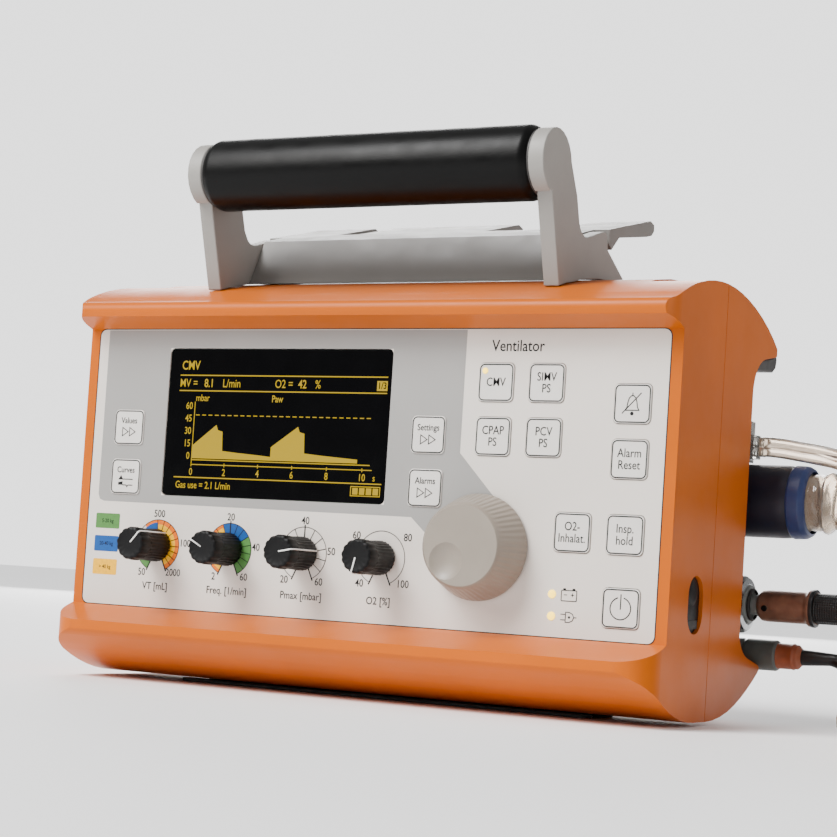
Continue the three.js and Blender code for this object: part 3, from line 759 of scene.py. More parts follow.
# The supply lead: down to the floor beside the case, over the hoses and into a small coil.
dc_points = [(160.9, *DC_AT), (168, *DC_AT), (177, DC_DEPTH - 1, 27.6)]
dc_points += [
    (188, 106, 20), (197, 92, 9), (203, 74, 3), (206, 55, 2.8), (209, 36, 4.5), (213, 18, 14),
    (220, -1, 27), (228, -15, 30.4), (240, -28, 30.2), (258, -36, 30), (285, -36, 30),
    (318, -32, 30), (338, -28, 26),
]
dc_points += coil_points((186, 26, 18), (158, 26.5, 13), (136, 27.6, 11.6))
dc_rings = [27.6, 23, 18.4]
dc_turns = [(r, 11.5) for r in dc_rings] + [(r, 6.9) for r in reversed(dc_rings)]
dc_turns += [(r, 2.3) for r in dc_rings]
dc_points += coil_turns(136, -1, dc_turns, -60)
dc_points += coil_points(
    (178, 19, 4), (150, 22, 12), (130, 30, 18.6), (116, 40, 20.5), (106, 52, 26), (98, 66, 29.4),
    (90, 80, 29.2), (84, 92, 24), (78, 100, 16), (72, 103, 11), (67, 103.5, 10),
)
dc_lead = round_cord("dc_lead", dc_points, DC_DIAMETER, "lead")
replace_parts(dc_lead, "dc_run", "dc_coil")


# The straps that hold the coils, and the connectors at the far ends of the cords.
hose_straps = [strap("hose_strap_%d" % i, a, 119, 151, 28.5, 16) for i, a in enumerate((-8, 168, 232))]
oxygen_straps = [strap("oxygen_strap_%d" % i, a, 50.5, 93.3, 28, 13) for i, a in enumerate((18, 262))]
sensing_straps = [strap("sensing_strap", 300, 34.2, 49.8, 18.6, 9)]
dc_straps = [strap("dc_strap", 10, 15.4, 30.6, 14.6, 7)]


def raised_ring(profile_radius, station, bar):
    """A small rounded ring standing on a turned piece, as profile points."""
    points = []
    for i in range(7):
        angle = math.pi * i / 6
        points.append((station - bar * math.cos(angle), profile_radius + bar * math.sin(angle)))
    return points


def fins(count, depth):
    return lambda station, angle: depth * (0.5 + 0.5 * math.cos(count * angle))


def far_piece(name, spot, material, rounding, profile, sides=56, ripple=None):
    """A turned piece at a cord's far end: it lies along the circle through a spot of the coils,
    which is (degrees, radius, height of its axis)."""
    angle = math.radians(spot[0] - 90)
    way = (math.cos(angle), math.sin(angle), 0)
    shape = rounded_profile(profile, rounding)
    return turned(name, shape, place(*coil_point(*spot)), way, material, WHOLE, sides, ripple)


VALVE_SPOT = (-102, 105, 13)
valve_body = far_piece(
    "patient_valve_body", VALVE_SPOT, "clear_hard", 0.8,
    [(-24, 0), (-24, 11), (-9, 11), (-6, 13), (-2, 13), (-1.5, 12.4), (4, 12.4), (4.5, 13), (13, 13)]
    + [(15, 9.6), (24, 9), (24, 7.4), (8, 7.2), (8, 0)],
    sides=48,
)
valve_cap = far_piece(
    "patient_valve_cap", VALVE_SPOT, "valve_blue", 0.3,
    [(-1.5, 12.2), (-1.4, 13.05), (4.4, 13.05), (4.5, 12.2)],
    ripple=fins(36, -0.25),
)
valve_cuff = far_piece(
    "patient_valve_cuff", VALVE_SPOT, "grey", 0.6,
    [(-24.3, 10.4), (-24.3, 11.9), (-10.5, 11.9), (-9.5, 11), (-9.5, 10.4)],
    ripple=fins(18, -0.5),
)
valve_parts = [valve_body, valve_cap, valve_cuff]
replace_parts(valve_parts[0], "patient_valve")

PROBE_SPOT = (0, 101, 8.3)
probe = far_piece(
    "oxygen_far_plug_body", PROBE_SPOT, "steel", 0.5,
    [(24, 0), (24, 6.6), (13, 6.6), (11, 8.3), (-13, 8.3), (-14.5, 5.6), (-17, 5.2), (-18, 4.3)]
    + [(-26, 4.1), (-26, 0)],
    sides=48,
)
probe_sleeve = far_piece(
    "oxygen_far_plug_sleeve", PROBE_SPOT, "steel", 0.3,
    [(-9, 7.9), (-9, 8.45), (7, 8.45), (7, 7.9)],
    ripple=fins(40, -0.3),
)
probe_ring = far_piece("oxygen_far_plug_seal", PROBE_SPOT, "rubber", 0, raised_ring(4.1, -22, 0.8))
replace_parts(probe, "oxygen_far_plug")

DC_FAR_SPOT = (50, 103, 10)
dc_far_body = far_piece(
    "dc_far_plug_body", DC_FAR_SPOT, "black", 1.6,
    [(-30, 0), (-30, 3.4), (-26, 4.6), (-21, 8.6), (-14, 9.6), (5, 9.9), (9, 8.6), (20, 8.2), (20, 0)],
)
dc_far_grip = far_piece(
    "dc_far_plug_grip", DC_FAR_SPOT, "lead", 0.4,
    [(-13, 9.2), (-12.6, 10), (4, 10), (4.4, 9.2)],
    ripple=fins(24, -0.7),
)
dc_far_tip = far_piece(
    "dc_far_plug_tip", DC_FAR_SPOT, "brass", 0.6,
    [(19.8, 7), (22, 6.8), (26, 6.2), (26, 3.2), (29, 2.8), (30, 1.5), (30, 0)],
)
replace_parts(dc_far_body, "dc_far_plug")

FLOW_SPOT = (-48, 104, 10.5)
flow_body = far_piece(
    "flow_sensor_body", FLOW_SPOT, "clear_hard", 0.7,
    [(-20, 0), (-20, 7.6), (-8, 8), (-6, 10.5), (6, 10.5), (8, 7.4), (20, 6.9), (20, 5.4)]
    + [(9, 5.2), (9, 0)],
    sides=48,
)
flow_rings = far_piece(
    "flow_sensor_rings", FLOW_SPOT, "valve_blue", 0.4,
    [(-2.4, 9.9), (-2.2, 10.6), (2.2, 10.6), (2.4, 9.9)],
    ripple=fins(30, -0.3),
)
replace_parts(flow_body, "flow_sensor")

# The connectors at the case, each turned about its own line across.
ACROSS = (1, 0, 0)


def at_port(name, where, material, rounding, profile, sides=56, ripple=None):
    """A piece turned about a line across, at a (depth, height)."""
    shape = rounded_profile(profile, rounding)
    return turned(name, shape, place(0, *where), ACROSS, material, WHOLE, sides, ripple)


hose_cuff = at_port(
    "hose_cuff_body", HOSE_AT, "navy", 1.6,
    [(129, 11.4), (129, 15.3), (131.5, 15.8), (151, 15.8), (157.5, 14.9), (160.2, 12.9)]
    + [(160.2, 11), (156, 10)],
)
hose_cuff_band = at_port(
    "hose_cuff_band", HOSE_AT, "navy_band", 0.4,
    [(154.2, 15.6), (154.8, 15.95), (159.6, 15.7), (161.6, 14.6), (162.2, 13.4)],
)
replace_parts(hose_cuff, "hose_cuff")
patient_port = at_port(
    "patient_port_body", HOSE_AT, "grey", 0.3,
    [(BLOCK_FACE, 9), (BLOCK_FACE, 11), (140.4, 11), (141, 10.4), (141, 9)],
)
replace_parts(patient_port, "patient_port")

inlet_flange = at_port(
    "oxygen_inlet_flange", OXYGEN_AT, "grey", 0.6,
    [(BLOCK_FACE, 0), (BLOCK_FACE, 12.4), (133.4, 12.4), (134.8, 11.6), (135.4, 8.6), (136.7, 8.2)]
    + [(136.7, 4.3), (140.2, 4.3), (140.2, 0)],
)
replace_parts(inlet_flange, "oxygen_inlet")
at_port("oxygen_inlet_ring", OXYGEN_AT, "rubber", 0.1, raised_ring(6.2, 137.4, 0.9))
at_port(
    "oxygen_inlet_face", OXYGEN_AT, "steel", 0.3,
    [(134.6, 11.6), (135.2, 11.3), (135.8, 8.7), (135.4, 8.2)],
)


def gripped(station, angle):
    """The coupling is a little flattened where fingers hold it."""
    hold = math.exp(-(((station - 153) / 5.5) ** 2))
    return -0.55 * hold * (0.5 + 0.5 * math.cos(2 * angle))


coupling = at_port(
    "oxygen_coupling_body", OXYGEN_AT, "bronze", 0.6,
    [(140.5, 0), (140.5, 5), (142.2, 6.6), (145, 6.9), (161.6, 6.9), (162.6, 7.3), (163.2, 7.9)]
    + [(165.6, 8), (166, 7.4), (166, 0)],
    64,
    gripped,
)
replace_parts(coupling, "oxygen_coupling")
flare = at_port(
    "oxygen_coupling_flare", OXYGEN_AT, "lead", 0.3,
    [(164.2, 7.6), (164.4, 8.15), (166, 8.15), (166.2, 7)],
)


def oval_on_side(name, across, half_long, half_tall, inner, reach, material, facing):
    """A thin oval ring or disc that wraps round the coupling, on its side towards an angle."""
    work = bmesh.new()
    loops = []
    for share in (inner, (1 + inner) / 2, 1.0):
        loop = []
        for i in range(40):
            angle = 2 * math.pi * i / 40
            station = across + half_long * share * math.cos(angle)
            around = math.radians(facing) + half_tall * share * math.sin(angle) / reach
            lift = reach + (0.12 if share > inner or inner == 0 else 0.02)
            spot = place(station, *OXYGEN_AT)
            spot += Vector((0, -math.cos(around), -math.sin(around))) * lift * MM
            loop.append(work.verts.new(spot))
        loops.append(loop)
    for near, far in zip(loops, loops[1:]):
        bridge(work, near, far)
    if inner < 0.05:
        work.faces.new(loops[0])
    bmesh.ops.recalc_face_normals(work, faces=work.faces)
    thickened(finished(name, work, material), 0.25)


oval_on_side("coupling_oval", 153, 5.2, 4.2, 0.62, 6.5, "bronze", 0)
oval_on_side("coupling_oval_face", 153, 3.2, 2.5, 0.01, 6.35, "rust", 0)
# A flat black disc where the coupling's hole is: painted shade of the hole.
oval_on_side("coupling_hole_shade", 144.8, 1.3, 1.3, 0.01, 6.75, "black", 10)

dc_collar = at_port(
    "dc_plug_collar", DC_AT, "collar", 0.4,
    [(BLOCK_FACE, 0), (BLOCK_FACE, 6.65), (133.8, 6.65), (134.3, 6.1), (135.2, 6.1), (135.7, 6.65)]
    + [(148.8, 6.65), (149.6, 6), (149.6, 0)],
)
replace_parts(dc_collar, "dc_plug")
dc_boot = at_port(
    "dc_plug_boot", DC_AT, "rust", 0.8,
    [(149, 0), (149, 5.8), (156.5, 5.75), (158.8, 5.2), (160.3, 3.6), (160.6, 2.5), (160.6, 0)],
    48,
    lambda station, angle: -0.3 * (0.5 - 0.5 * math.cos(2 * math.pi * (station - 149) / 1.9)),
)
dc_relief = at_port(
    "dc_plug_relief", DC_AT, "lead", 0.3,
    [(160, 2.2), (160.2, 3.5), (168, 3.0), (175, 2.55), (176, 2.35)],
)

dressed("sensing_ports", "clear_hard", 0.5)
for side, offset in (("lower", -SENSING_DIAMETER / 4), ("upper", SENSING_DIAMETER / 4)):
    at_port(
        "sensing_nipple_" + side, (PORT_DEPTH, SENSING_HEIGHT + offset), "clear_hard", 0.3,
        [(BLOCK_FACE, 0), (BLOCK_FACE, 2.9), (133, 2.9), (134, 2.1), (136, 2.5), (137.2, 1.9), (139, 2.3)]
        + [(140.4, 1.7), (140.4, 0)],
        32,
    )


# ---------------------------------------------------------------- case, handle and tray
for node, material, rounding, segments in (
    ("front_shell", "orange", 1.1, 4),
    ("rear_shell", "orange", 1.1, 4),
    ("hanger_pad", "rubber", 0.8, 3),
    ("foot_front", "rubber", 0.3, 3),
    ("foot_rear", "rubber", 0.3, 3),
    ("bracket_right", "casting", 1.1, 4),
    ("bracket_left", "casting", 1.1, 4),
    ("top_tray", "tray", 0.7, 3),
    ("connector_block", "dark_grey", 1.2, 3),
    ("side_port_insert", "black", 0.3, 3),
    ("rotary_knob", "taupe", 0.9, 4),
    ("front_panel", "panel", 0.2, 2),
    ("display_window", "glass", 0.15, 2),
):
    dressed(node, material, rounding, segments)

GRIP_AT = (-2.4, 222.6)
GRIP_END = 78
grip_half = [(GRIP_END - 3.2, 15.5), (GRIP_END - 0.6, 14), (GRIP_END, 12.5), (GRIP_END, 5.4)]
grip_profile = [(-station, radius) for station, radius in reversed(grip_half)] + grip_half
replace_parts(at_port("grip_sleeve", GRIP_AT, "grip", 1.2, grip_profile, 72), "grip")
for name, side in (("left", -1), ("right", 1)):
    at_port(
        "grip_collar_" + name, GRIP_AT, "rubber", 0.3,
        [(side * 77.2, 9), (side * 77.2, 13.6), (side * 78.6, 13.6), (side * 78.6, 9)],
    )

# The little service port in the side: a round cap above and a sliding shutter below, inside the slot.
at_port(
    "side_port_cap", (28.8, 53.6), "black", 0.5,
    [(140.9, 5.6), (141.2, 5.2), (141.5, 3.6), (141.6, 0)],
)
block("side_port_shutter", place(140.8, 23, 39), place(141.6, 34.4, 42.6), "rubber")


def screw(name, spot, direction, radius):
    """A recessed screw head with a six-lobed socket."""
    profile = [(-0.2, radius), (0.25, radius - 0.1), (0.45, radius - 0.5), (0.45, radius * 0.5)]
    profile += [(0.05, radius * 0.45), (0.05, 0)]

    def lobes(station, angle):
        return 0.18 * math.cos(6 * angle) if abs(station - 0.05) < 0.01 else 0

    turned(name, profile, spot, direction, "steel", sides=48, ripple=lobes)


REAR_WALL = 82.9
screw_spots = [(-128, 128), (-128, 50), (72, 128), (72, 50), (-30, 50), (-30, 128)]
for index, (x, height) in enumerate(screw_spots):
    screw("rear_screw_%d" % index, place(x, REAR_WALL, height), (0, 1, 0), 3.2)
# A filter cover with slots on the rear wall, for the fresh gas intake; the slots are black strips on the
# cover, painted shade of the openings.
cover_low, cover_high = place(-108, REAR_WALL - 0.3, 74), place(-48, REAR_WALL + 2.4, 108)
block("filter_cover", cover_low, cover_high, "dark_grey", rounding=1.2)
for i in range(7):
    low = 78 + i * 4.1
    corners = place(-102, REAR_WALL + 2.2, low), place(-54, REAR_WALL + 2.9, low + 1.6)
    block("filter_slot_shade_%d" % i, *corners, "black", rounding=0.25)


# ---------------------------------------------------------------- printing on flat faces
class Print:
    """Ink on a face that looks forward: shapes in (across, height) millimetres, in one flat piece."""

    def __init__(self, name, material, body, depth):
        self.name = name
        self.material = material
        self.body = body
        self.depth = depth
        self.work = bmesh.new()

    def shape(self, outline):
        verts = [self.work.verts.new(place(x, self.depth, h)) for x, h in outline]
        face = self.work.faces.new(verts)
        face.normal_update()
        if face.normal.y > 0:
            face.normal_flip()

    def box(self, x0, h0, x1, h1):
        self.shape([(x0, h0), (x1, h0), (x1, h1), (x0, h1)])

    def line(self, points, width, closed=False):
        """A line of even width with mitred corners."""
        spots = [Vector(p) for p in points]
        count = len(spots)
        left, right = [], []
        for i, spot in enumerate(spots):
            before = spots[i - 1] if (i or closed) else None
            after = spots[(i + 1) % count] if (i + 1 < count or closed) else None
            come = (spot - before).normalized() if before is not None else None
            leave = (after - spot).normalized() if after is not None else None
            come = come or leave
            leave = leave or come
            mean = (come + leave).normalized()
            aside = Vector((-mean.y, mean.x))
            cosine = max(0.4, aside.dot(Vector((-come.y, come.x))))
            left.append(spot + aside * width / 2 / cosine)
            right.append(spot - aside * width / 2 / cosine)
        for i in range(count if closed else count - 1):
            j = (i + 1) % count
            self.shape([left[i], left[j], right[j], right[i]])

    def sector(self, x, h, inner, outer, first, last, steps=None):
        """Part of a ring, with angles in degrees clockwise from the top."""
        steps = steps or max(2, int(abs(last - first) / 6))
        for i in range(steps):
            a, b = (math.radians(first + (last - first) * k / steps) for k in (i, i + 1))
            corners = [(inner, a), (outer, a), (outer, b), (inner, b)]
            if inner < 1e-6:
                corners = corners[1:]
            self.shape([(x + r * math.sin(t), h + r * math.cos(t)) for r, t in corners])

    def disc(self, x, h, radius):
        points = [2 * math.pi * i / 24 for i in range(24)]
        self.shape([(x + radius * math.cos(a), h + radius * math.sin(a)) for a in points])

    def words(self, text, x, h, size, bold=0.7, align="CENTER", narrow=0.88):
        """Plain generic lettering with its middle line at a height; size is the height of a capital."""
        curve = bpy.data.curves.new("words", "FONT")
        curve.body = text
        curve.align_x = align
        curve.align_y = "CENTER"
        curve.size = size * 1.5
        curve.offset = bold * 0.055
        curve.resolution_u = 3
        letters = in_scene("words", curve)
        bpy.context.view_layer.update()
        mesh = letters.to_mesh()
        start = len(self.work.verts)
        self.work.from_mesh(mesh)
        self.work.verts.ensure_lookup_table()
        for vert in self.work.verts[start:]:
            vert.co = place(x + vert.co.x * narrow, self.depth, h + vert.co.y)
        letters.to_mesh_clear()
        bpy.data.objects.remove(letters)

    def done(self):
        mesh = bpy.data.meshes.new(self.name)
        self.work.to_mesh(mesh)
        self.work.free()
        return link(self.name, mesh, self.material, self.body)


def rounded_outline(x, h, half_wide, half_tall, radius, steps=6):
    points = []
    for corner_x, corner_h, first in ((1, -1, -90), (1, 1, 0), (-1, 1, 90), (-1, -1, 180)):
        for i in range(steps + 1):
            angle = math.radians(first + 90 * i / steps)
            across = corner_x * (half_wide - radius) + radius * math.cos(angle)
            up = corner_h * (half_tall - radius) + radius * math.sin(angle)
            points.append((x + across, h + up))
    return points


DIALS = [-98.5 + 37.6 * i for i in range(4)]
DIAL_HEIGHT = 59.7
SCALE_RADIUS = 11.3
SCALE_END = 155

zone = Print("panel_grey_zone", "zone", WHOLE, -0.03)
zone_top = PANEL_TOP - 0.4
window_left, window_right, window_low, window_high = -98.6, 14.1, 81.9, 147.1
zone.shape(
    [(-132.6, zone_top), (-132.6, 81.5), (-131.7, 79.1), (-129.4, 78.3), (window_left, 78.1)]
    + [(window_left, zone_top)]
)
zone.box(window_left, window_high, window_right, zone_top)
zone.shape(
    [(window_left, window_low), (window_left, 78.1), (window_right, 77.4), (window_right, window_low)]
)
zone.shape(
    [(window_right, zone_top), (window_right, 77.4), (27.3, 77.3), (40, 66), (KNOB_X, 70), (65.7, 86)]
    + [(48.1, 104.4), (48.1, zone_top)]
)
zone.done()

seal = Print("panel_seal", "outline", WHOLE, -0.04)
seal.line(rounded_outline(0, 93.9, 137.6, 61.7, 3.2, 5), 0.5, closed=True)
seal.done()

fills = {c: Print("scale_fill_" + c, c, WHOLE, -0.05) for c in ("green", "blue", "yellow", "amber")}
inner_edge, middle_edge = 6.5, 9.3
volume, rate = DIALS[0], DIALS[1]
for colour, x, inner, outer, first, last in (
    ("green", volume, inner_edge, SCALE_RADIUS, -SCALE_END, -112),
    ("blue", volume, inner_edge, SCALE_RADIUS - 1.2, -52, -4),
    ("amber", volume, SCALE_RADIUS - 1.2, SCALE_RADIUS, -40, -4),
    ("yellow", volume, inner_edge, middle_edge, -4, SCALE_END),
    ("amber", volume, middle_edge, SCALE_RADIUS, -4, SCALE_END),
    ("amber", rate, middle_edge + 0.6, SCALE_RADIUS, -SCALE_END, -20),
    ("yellow", rate, inner_edge, middle_edge + 0.6, -SCALE_END, -20),
    ("blue", rate, inner_edge, SCALE_RADIUS, -20, 58),
    ("green", rate, inner_edge, SCALE_RADIUS, 58, SCALE_END),
):
    fills[colour].sector(x, DIAL_HEIGHT, inner, outer, first, last)
for colour, low, high in (("green", 66.1, 72.8), ("blue", 55.8, 62.8), ("yellow", 45.5, 52.4)):
    fills[colour].shape(rounded_outline(-126.4, (low + high) / 2, 6.5, (high - low) / 2, 0.5, 3))
for fill in fills.values():
    fill.done()

marks = Print("panel_marks", "print", WHOLE, -0.08)
ticks = [
    [-155, -112, -52, -4, 15, 34, 53, 72, 91, 107, 123, 139, 155],
    [-155, -130, -105, -80, -58, -40, -20, 0, 19, 38, 58, 78, 98, 117, 136, 155],
    [-155, -129, -103, -77, -52, -26, 0, 26, 52, 77, 103, 129, 155],
    [-155, 155],
]
numbers = [
    [("50", -150), ("500", 0), ("1000", 84), ("2000", 147)],
    [("2", -150), ("20", 0), ("40", 84), ("60", 147)],
    [("20", -145), ("40", 0), ("50", 84), ("60", 147)],
    [("40", -142), ("60", -50), ("80", 50), ("100", 138)],
]
names = ["VT [mL]", "Freq. [1/min]", "Pmax [mbar]", "O2 [%]"]
for x, dial_ticks, dial_numbers, dial_name in zip(DIALS, ticks, numbers, names):
    gap = (-SCALE_END, SCALE_END)
    marks.sector(x, DIAL_HEIGHT, SCALE_RADIUS - 0.15, SCALE_RADIUS + 0.17, *gap, 60)
    for angle in dial_ticks:
        turn = math.radians(angle)
        wide = 0.62 if angle in gap or angle == 0 else 0.34
        near, far = inner_edge, SCALE_RADIUS + (1.0 if wide > 0.5 else 0.1)
        ends = [(x + r * math.sin(turn), DIAL_HEIGHT + r * math.cos(turn)) for r in (near, far)]
        marks.line(ends, wide)
    for text, angle in dial_numbers:
        turn = math.radians(angle)
        if abs(math.cos(turn)) < 0.2:
            aside = 0.5 + 0.95 * len(text)
        else:
            aside = 2.6 + 1.3 * len(text) * abs(math.sin(turn))
        across = x + (SCALE_RADIUS + aside) * math.sin(turn)
        marks.words(text, across, DIAL_HEIGHT + (SCALE_RADIUS + 2.6) * math.cos(turn), 3.0)
    marks.words(dial_name, x, DIAL_HEIGHT - 18.0, 3.0)
for text, height in (("5-20 kg", 69.4), ("20-40 kg", 59.3), ("> 40 kg", 48.9)):
    marks.words(text, -126.4, height, 1.6)
marks.words("Ventilator", 71.5, 148.3, 4.4, 0.9)
# The battery symbol, then the plug symbol.
marks.line(rounded_outline(100.4, 49.1, 3.3, 2.1, 0.3, 2), 0.35, closed=True)
marks.box(97.8, 51.2, 99, 52)
marks.box(101.8, 51.2, 103, 52)
for ends in ([(98.2, 49.4), (99.6, 49.4)], [(101.2, 49.4), (102.6, 49.4)], [(101.9, 48.7), (101.9, 50.1)]):
    marks.line(ends, 0.3)
plug_nose = [(99.4, 42.6), (99.4, 38.6), (101, 38.6), (102.4, 39.3), (103, 40.6), (102.4, 41.9)]
marks.line(plug_nose + [(101, 42.6)], 0.35, closed=True)
for ends in ([(97.2, 41.7), (99.4, 41.7)], [(97.2, 39.5), (99.4, 39.5)], [(103, 40.6), (104.2, 40.6)]):
    marks.line(ends, 0.35)
marks.disc(101, 40.6, 0.5)
marks.done()

for lamp_name, x, height in (("battery_lamp", 93, 49.4), ("mains_lamp", 93.2, 40.7)):
    turned(
        lamp_name,
        [(0.1, 1.75), (-0.25, 1.65), (-0.5, 1.1), (-0.62, 0)],
        place(x, 0, height),
        (0, 1, 0),
        "lamp",
        sides=24,
    )

# ---------------------------------------------------------------- what the display shows
SCREEN_LEFT, SCREEN_TOP = -98.3, 146.8
SCREEN_WIDE, SCREEN_TALL = 112.1, 64.6


def on_screen(u, v):
    """A place on the screen from shares of its width (from the left) and height (from the top)."""
    return (SCREEN_LEFT + u * SCREEN_WIDE, SCREEN_TOP - v * SCREEN_TALL)


picture = Print("display_picture", "lit", WHOLE, 0.2)


def rule(v, first=0.05, last=0.985, width=0.5):
    picture.line([on_screen(first, v), on_screen(last, v)], width)


def caption(text, u, v, size, bold=0.5, align="LEFT", narrow=0.82):
    picture.words(text, *on_screen(u, v), size, bold, align, narrow)


for text, u, v, size, bold in (
    ("CMV", 0.055, 0.115, 3.7, 1.4),
    ("MV = ", 0.05, 0.235, 3.4, 0.5),
    ("8.1", 0.165, 0.235, 3.4, 1.5),
    ("L/min", 0.25, 0.235, 3.4, 0.5),
    ("O2 = ", 0.49, 0.235, 3.4, 0.5),
    ("42", 0.595, 0.235, 3.4, 1.5),
    ("%", 0.67, 0.235, 3.4, 0.5),
    ("mbar", 0.13, 0.335, 2.8, 0.5),
    ("Paw", 0.48, 0.335, 2.8, 1.0),
    ("s", 0.945, 0.838, 2.7, 0.5),
    ("Gas use = 2.1 L/min", 0.06, 0.928, 2.9, 0.7),
):
    caption(text, u, v, size, bold)
for v in (0.18, 0.285, 0.875):
    rule(v)
picture.box(*on_screen(0.94, 0.27), *on_screen(0.985, 0.205))
for text, v in (("60", 0.39), ("45", 0.475), ("30", 0.56), ("15", 0.645), ("0", 0.73)):
    caption(text, 0.118, v, 2.9, 0.8, "RIGHT")
picture.line([on_screen(0.128, 0.36), on_screen(0.128, 0.79)], 0.4)
for i in range(27):
    start = 0.135 + i * 0.0296
    picture.line([on_screen(start, 0.45), on_screen(start + 0.018, 0.45)], 0.4)
# The two breaths of the pressure curve, filled down to the axis.
for first, rise, last in ((0.13, 0.105, 0.49), (0.49, 0.117, 0.875)):
    peak = first + rise
    outline = [(first, 0.745), (first, 0.655), (peak, 0.515), (peak + 0.008, 0.55), (peak + 0.03, 0.56)]
    outline += [(peak + 0.034, 0.69), (peak + 0.1, 0.7), (peak + 0.2, 0.712), (last, 0.72), (last, 0.745)]
    picture.shape([on_screen(u, v) for u, v in outline])
picture.line([on_screen(0.128, 0.755), on_screen(0.93, 0.755)], 0.45)
picture.line([on_screen(0.128, 0.787), on_screen(0.94, 0.787)], 0.4)
for i in range(6):
    u = 0.128 + i * 0.154
    picture.line([on_screen(u, 0.775), on_screen(u, 0.8)], 0.4)
    caption(str(2 * i), u, 0.838, 2.9, 0.8, "CENTER")
battery_frame = [(0.855, 0.955), (0.855, 0.895), (0.98, 0.895), (0.98, 0.955)]
picture.line([on_screen(u, v) for u, v in battery_frame], 0.4, closed=True)
for i in range(4):
    u = 0.862 + i * 0.0292
    picture.box(*on_screen(u, 0.947), *on_screen(u + 0.024, 0.903))
picture.done()
page = Print("display_page", "glass", WHOLE, 0.15)
page.words("1/3", *on_screen(0.9625, 0.2375), 2.6, 1.0)
page.done()

# ---------------------------------------------------------------- keys
KEY_SIZE = 15.64
RIM_HALF = KEY_SIZE / 2 - 0.55
KEY_FACE = -0.68
TWO_ARROWS = "arrows"
KEY_FACES = {
    "key_mode_a": (62.7, 133.5, ["CMV"]),
    "key_mode_b": (85.3, 133.5, ["SIMV", "PS"]),
    "key_mode_c": (62.7, 111.5, ["CPAP", "PS"]),
    "key_mode_d": (85.3, 111.5, ["PCV", "PS"]),
    "key_settings": (33.1, 111.5, ["Settings", TWO_ARROWS]),
    "key_alarms": (33.1, 89.5, ["Alarms", TWO_ARROWS]),
    "key_silence": (122.8, 125.7, "bell"),
    "key_reset": (122.8, 103.8, ["Alarm", "Reset"]),
    "key_oxygen": (100.3, 74.1, ["O2-", "Inhalat."]),
    "key_hold": (122.8, 74.1, ["Insp.", "hold"]),
    "key_power": (122.8, 45.4, "power"),
    "key_values": (-118, 111.5, ["Values", TWO_ARROWS]),
    "key_curves": (-118, 89.5, ["Curves", "trace"]),
}


def draw_symbol(print_on, symbol, x, h):
    """The small generic symbols on the keys."""
    if symbol == TWO_ARROWS:
        for shift in (-1.9, 1.9):
            corners = [(x + shift - 1.5, h - 1.9), (x + shift + 1.6, h), (x + shift - 1.5, h + 1.9)]
            print_on.line(corners, 0.35, closed=True)
    elif symbol == "trace":
        print_on.shape([(x - 3.8, h + 0.6), (x - 1.2, h + 0.6), (x - 2.4, h + 2.6)])
        print_on.line([(x - 1.6, h + 0.8), (x + 4, h + 0.8)], 0.4)
        print_on.shape([(x - 3.8, h - 1.8), (x - 1.4, h - 1.8), (x - 1.4, h - 0.2), (x - 3.8, h - 0.6)])
        dip = [(-1.4, -1.8), (0.6, -1.8), (1, -2.6), (1.6, -1.8), (4, -1.8)]
        print_on.line([(x + a, h + b) for a, b in dip], 0.4)
    elif symbol == "bell":
        side = [(2.9, -2.6), (2.2, -1.4), (1.9, 0.6), (1.4, 2.2), (0.5, 3.1)]
        outline = [(x + a, h + b) for a, b in side] + [(x - a, h + b) for a, b in reversed(side)]
        print_on.line(outline, 0.4, closed=True)
        print_on.line([(x, h + 3.1), (x, h + 4.3)], 0.4)
        print_on.disc(x, h - 3.9, 0.75)
        print_on.line([(x - 4.2, h - 3.9), (x + 3.6, h + 4.3)], 0.4)
    elif symbol == "power":
        print_on.sector(x, h, 4.1, 4.55, 16, 344, 48)
        print_on.line([(x, h - 0.4), (x, h + 5.6)], 0.45)


for node, (x, height, content) in KEY_FACES.items():
    dressed(node, "key", 0.35, 2)
    key_body = body_of(node)
    rim = Print(node + "_rim", "outline", key_body, KEY_FACE)
    rim.line(rounded_outline(x, height, RIM_HALF, RIM_HALF, 1.9), 0.5, closed=True)
    rim.done()
    face = Print(node + "_label", "print", key_body, KEY_FACE)
    if isinstance(content, str):
        draw_symbol(face, content, x, height)
    elif content[-1] in (TWO_ARROWS, "trace"):
        face.words(content[0], x, height + 2.9, 2.5)
        draw_symbol(face, content[-1], x, height - 2.0)
    else:
        spacing = 4.7
        for line_number, text in enumerate(content):
            rise = (len(content) - 1) / 2 * spacing - line_number * spacing
            face.words(text, x, height + rise, 3.3, 0.35, narrow=0.84)
    face.done()

turned(
    "mode_lamp",
    [(0.1, 1.25), (-0.2, 1.2), (-0.35, 0.8), (-0.42, 0)],
    place(57.6, -0.6, 138.2),
    (0, 1, 0),
    "lamp",
    body_of("key_mode_a"),
    24,
)

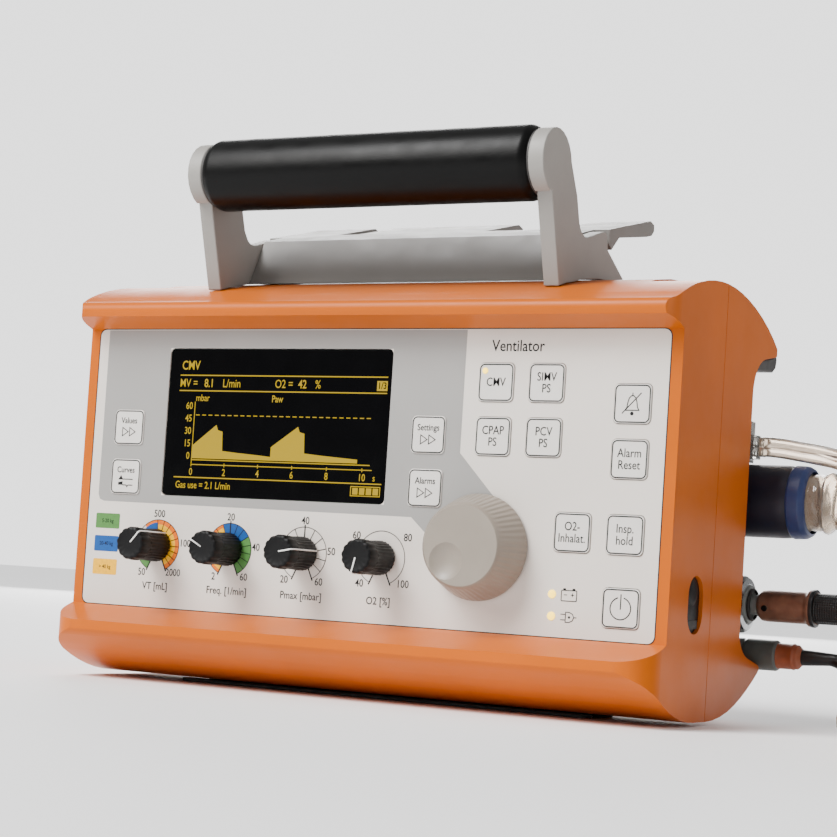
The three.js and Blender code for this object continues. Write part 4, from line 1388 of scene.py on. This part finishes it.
# ---------------------------------------------------------------- the four small knobs
POINTER_AT = [41, -62, 79, -167]


def small_knob(index):
    """A black knob with fine ribs on its body, a scalloped cap in front and a white pointer line."""
    node = "dial_knob_%d" % index
    x = DIALS[index - 1]
    centre = place(x, 0, DIAL_HEIGHT)

    def ripple(station, angle):
        if station < -14.4:
            return -0.38 * (0.5 - 0.5 * math.cos(14 * angle)) ** 1.5
        if station > -13.8:
            return -0.3 * (0.5 - 0.5 * math.cos(28 * angle))
        return 0

    profile = [(-0.5, 0), (-0.5, 7.0), (-0.9, 7.25), (-4, 7.2), (-9, 6.95), (-13.6, 6.9), (-13.9, 6.85)]
    profile += [(-14.3, 6.85), (-14.6, 7.1), (-15.2, 7.28), (-19.8, 7.2), (-20.8, 6.9), (-21.25, 6.2)]
    profile += [(-21.2, 5.6), (-21.05, 5.2), (-21.05, 2.5), (-21.05, 0)]
    knob = turned(node + "_look", profile, centre, (0, 1, 0), "knob", body_of(node), 120, ripple)
    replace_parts(knob, node)
    angle = math.radians(POINTER_AT[index - 1])
    outwards = Vector((math.sin(angle), 0, math.cos(angle)))
    aside = Vector((math.cos(angle), 0, -math.sin(angle)))
    path = [(0.6, -21.16), (5.4, -21.16), (6.3, -21.36), (7.0, -20.9), (7.32, -19.8), (7.36, -15)]
    path += [(7.26, -9), (7.3, -1)]
    work = bmesh.new()
    rows = []
    for reach, station in path:
        spot = centre + outwards * reach * MM + Vector((0, station * MM, 0))
        rows.append([work.verts.new(spot + aside * half * MM) for half in (-0.3, 0.3)])
    for near, far in zip(rows, rows[1:]):
        work.faces.new((near[0], near[1], far[1], far[0]))
    thickened(finished(node + "_pointer", work, "white", body_of(node), 80), 0.3)


for number in range(1, 5):
    small_knob(number)

# ---------------------------------------------------------------- parts inside the case
for node, material in {
    "display_module": "board",
    "control_board": "board",
    "main_board": "board",
    "encoder_shaft": "steel",
    "encoder_body": "dark_grey",
    "handle_rod": "steel",
    "battery_pack": "battery",
    "pneumatic_block": "steel",
}.items():
    painted(node, material)
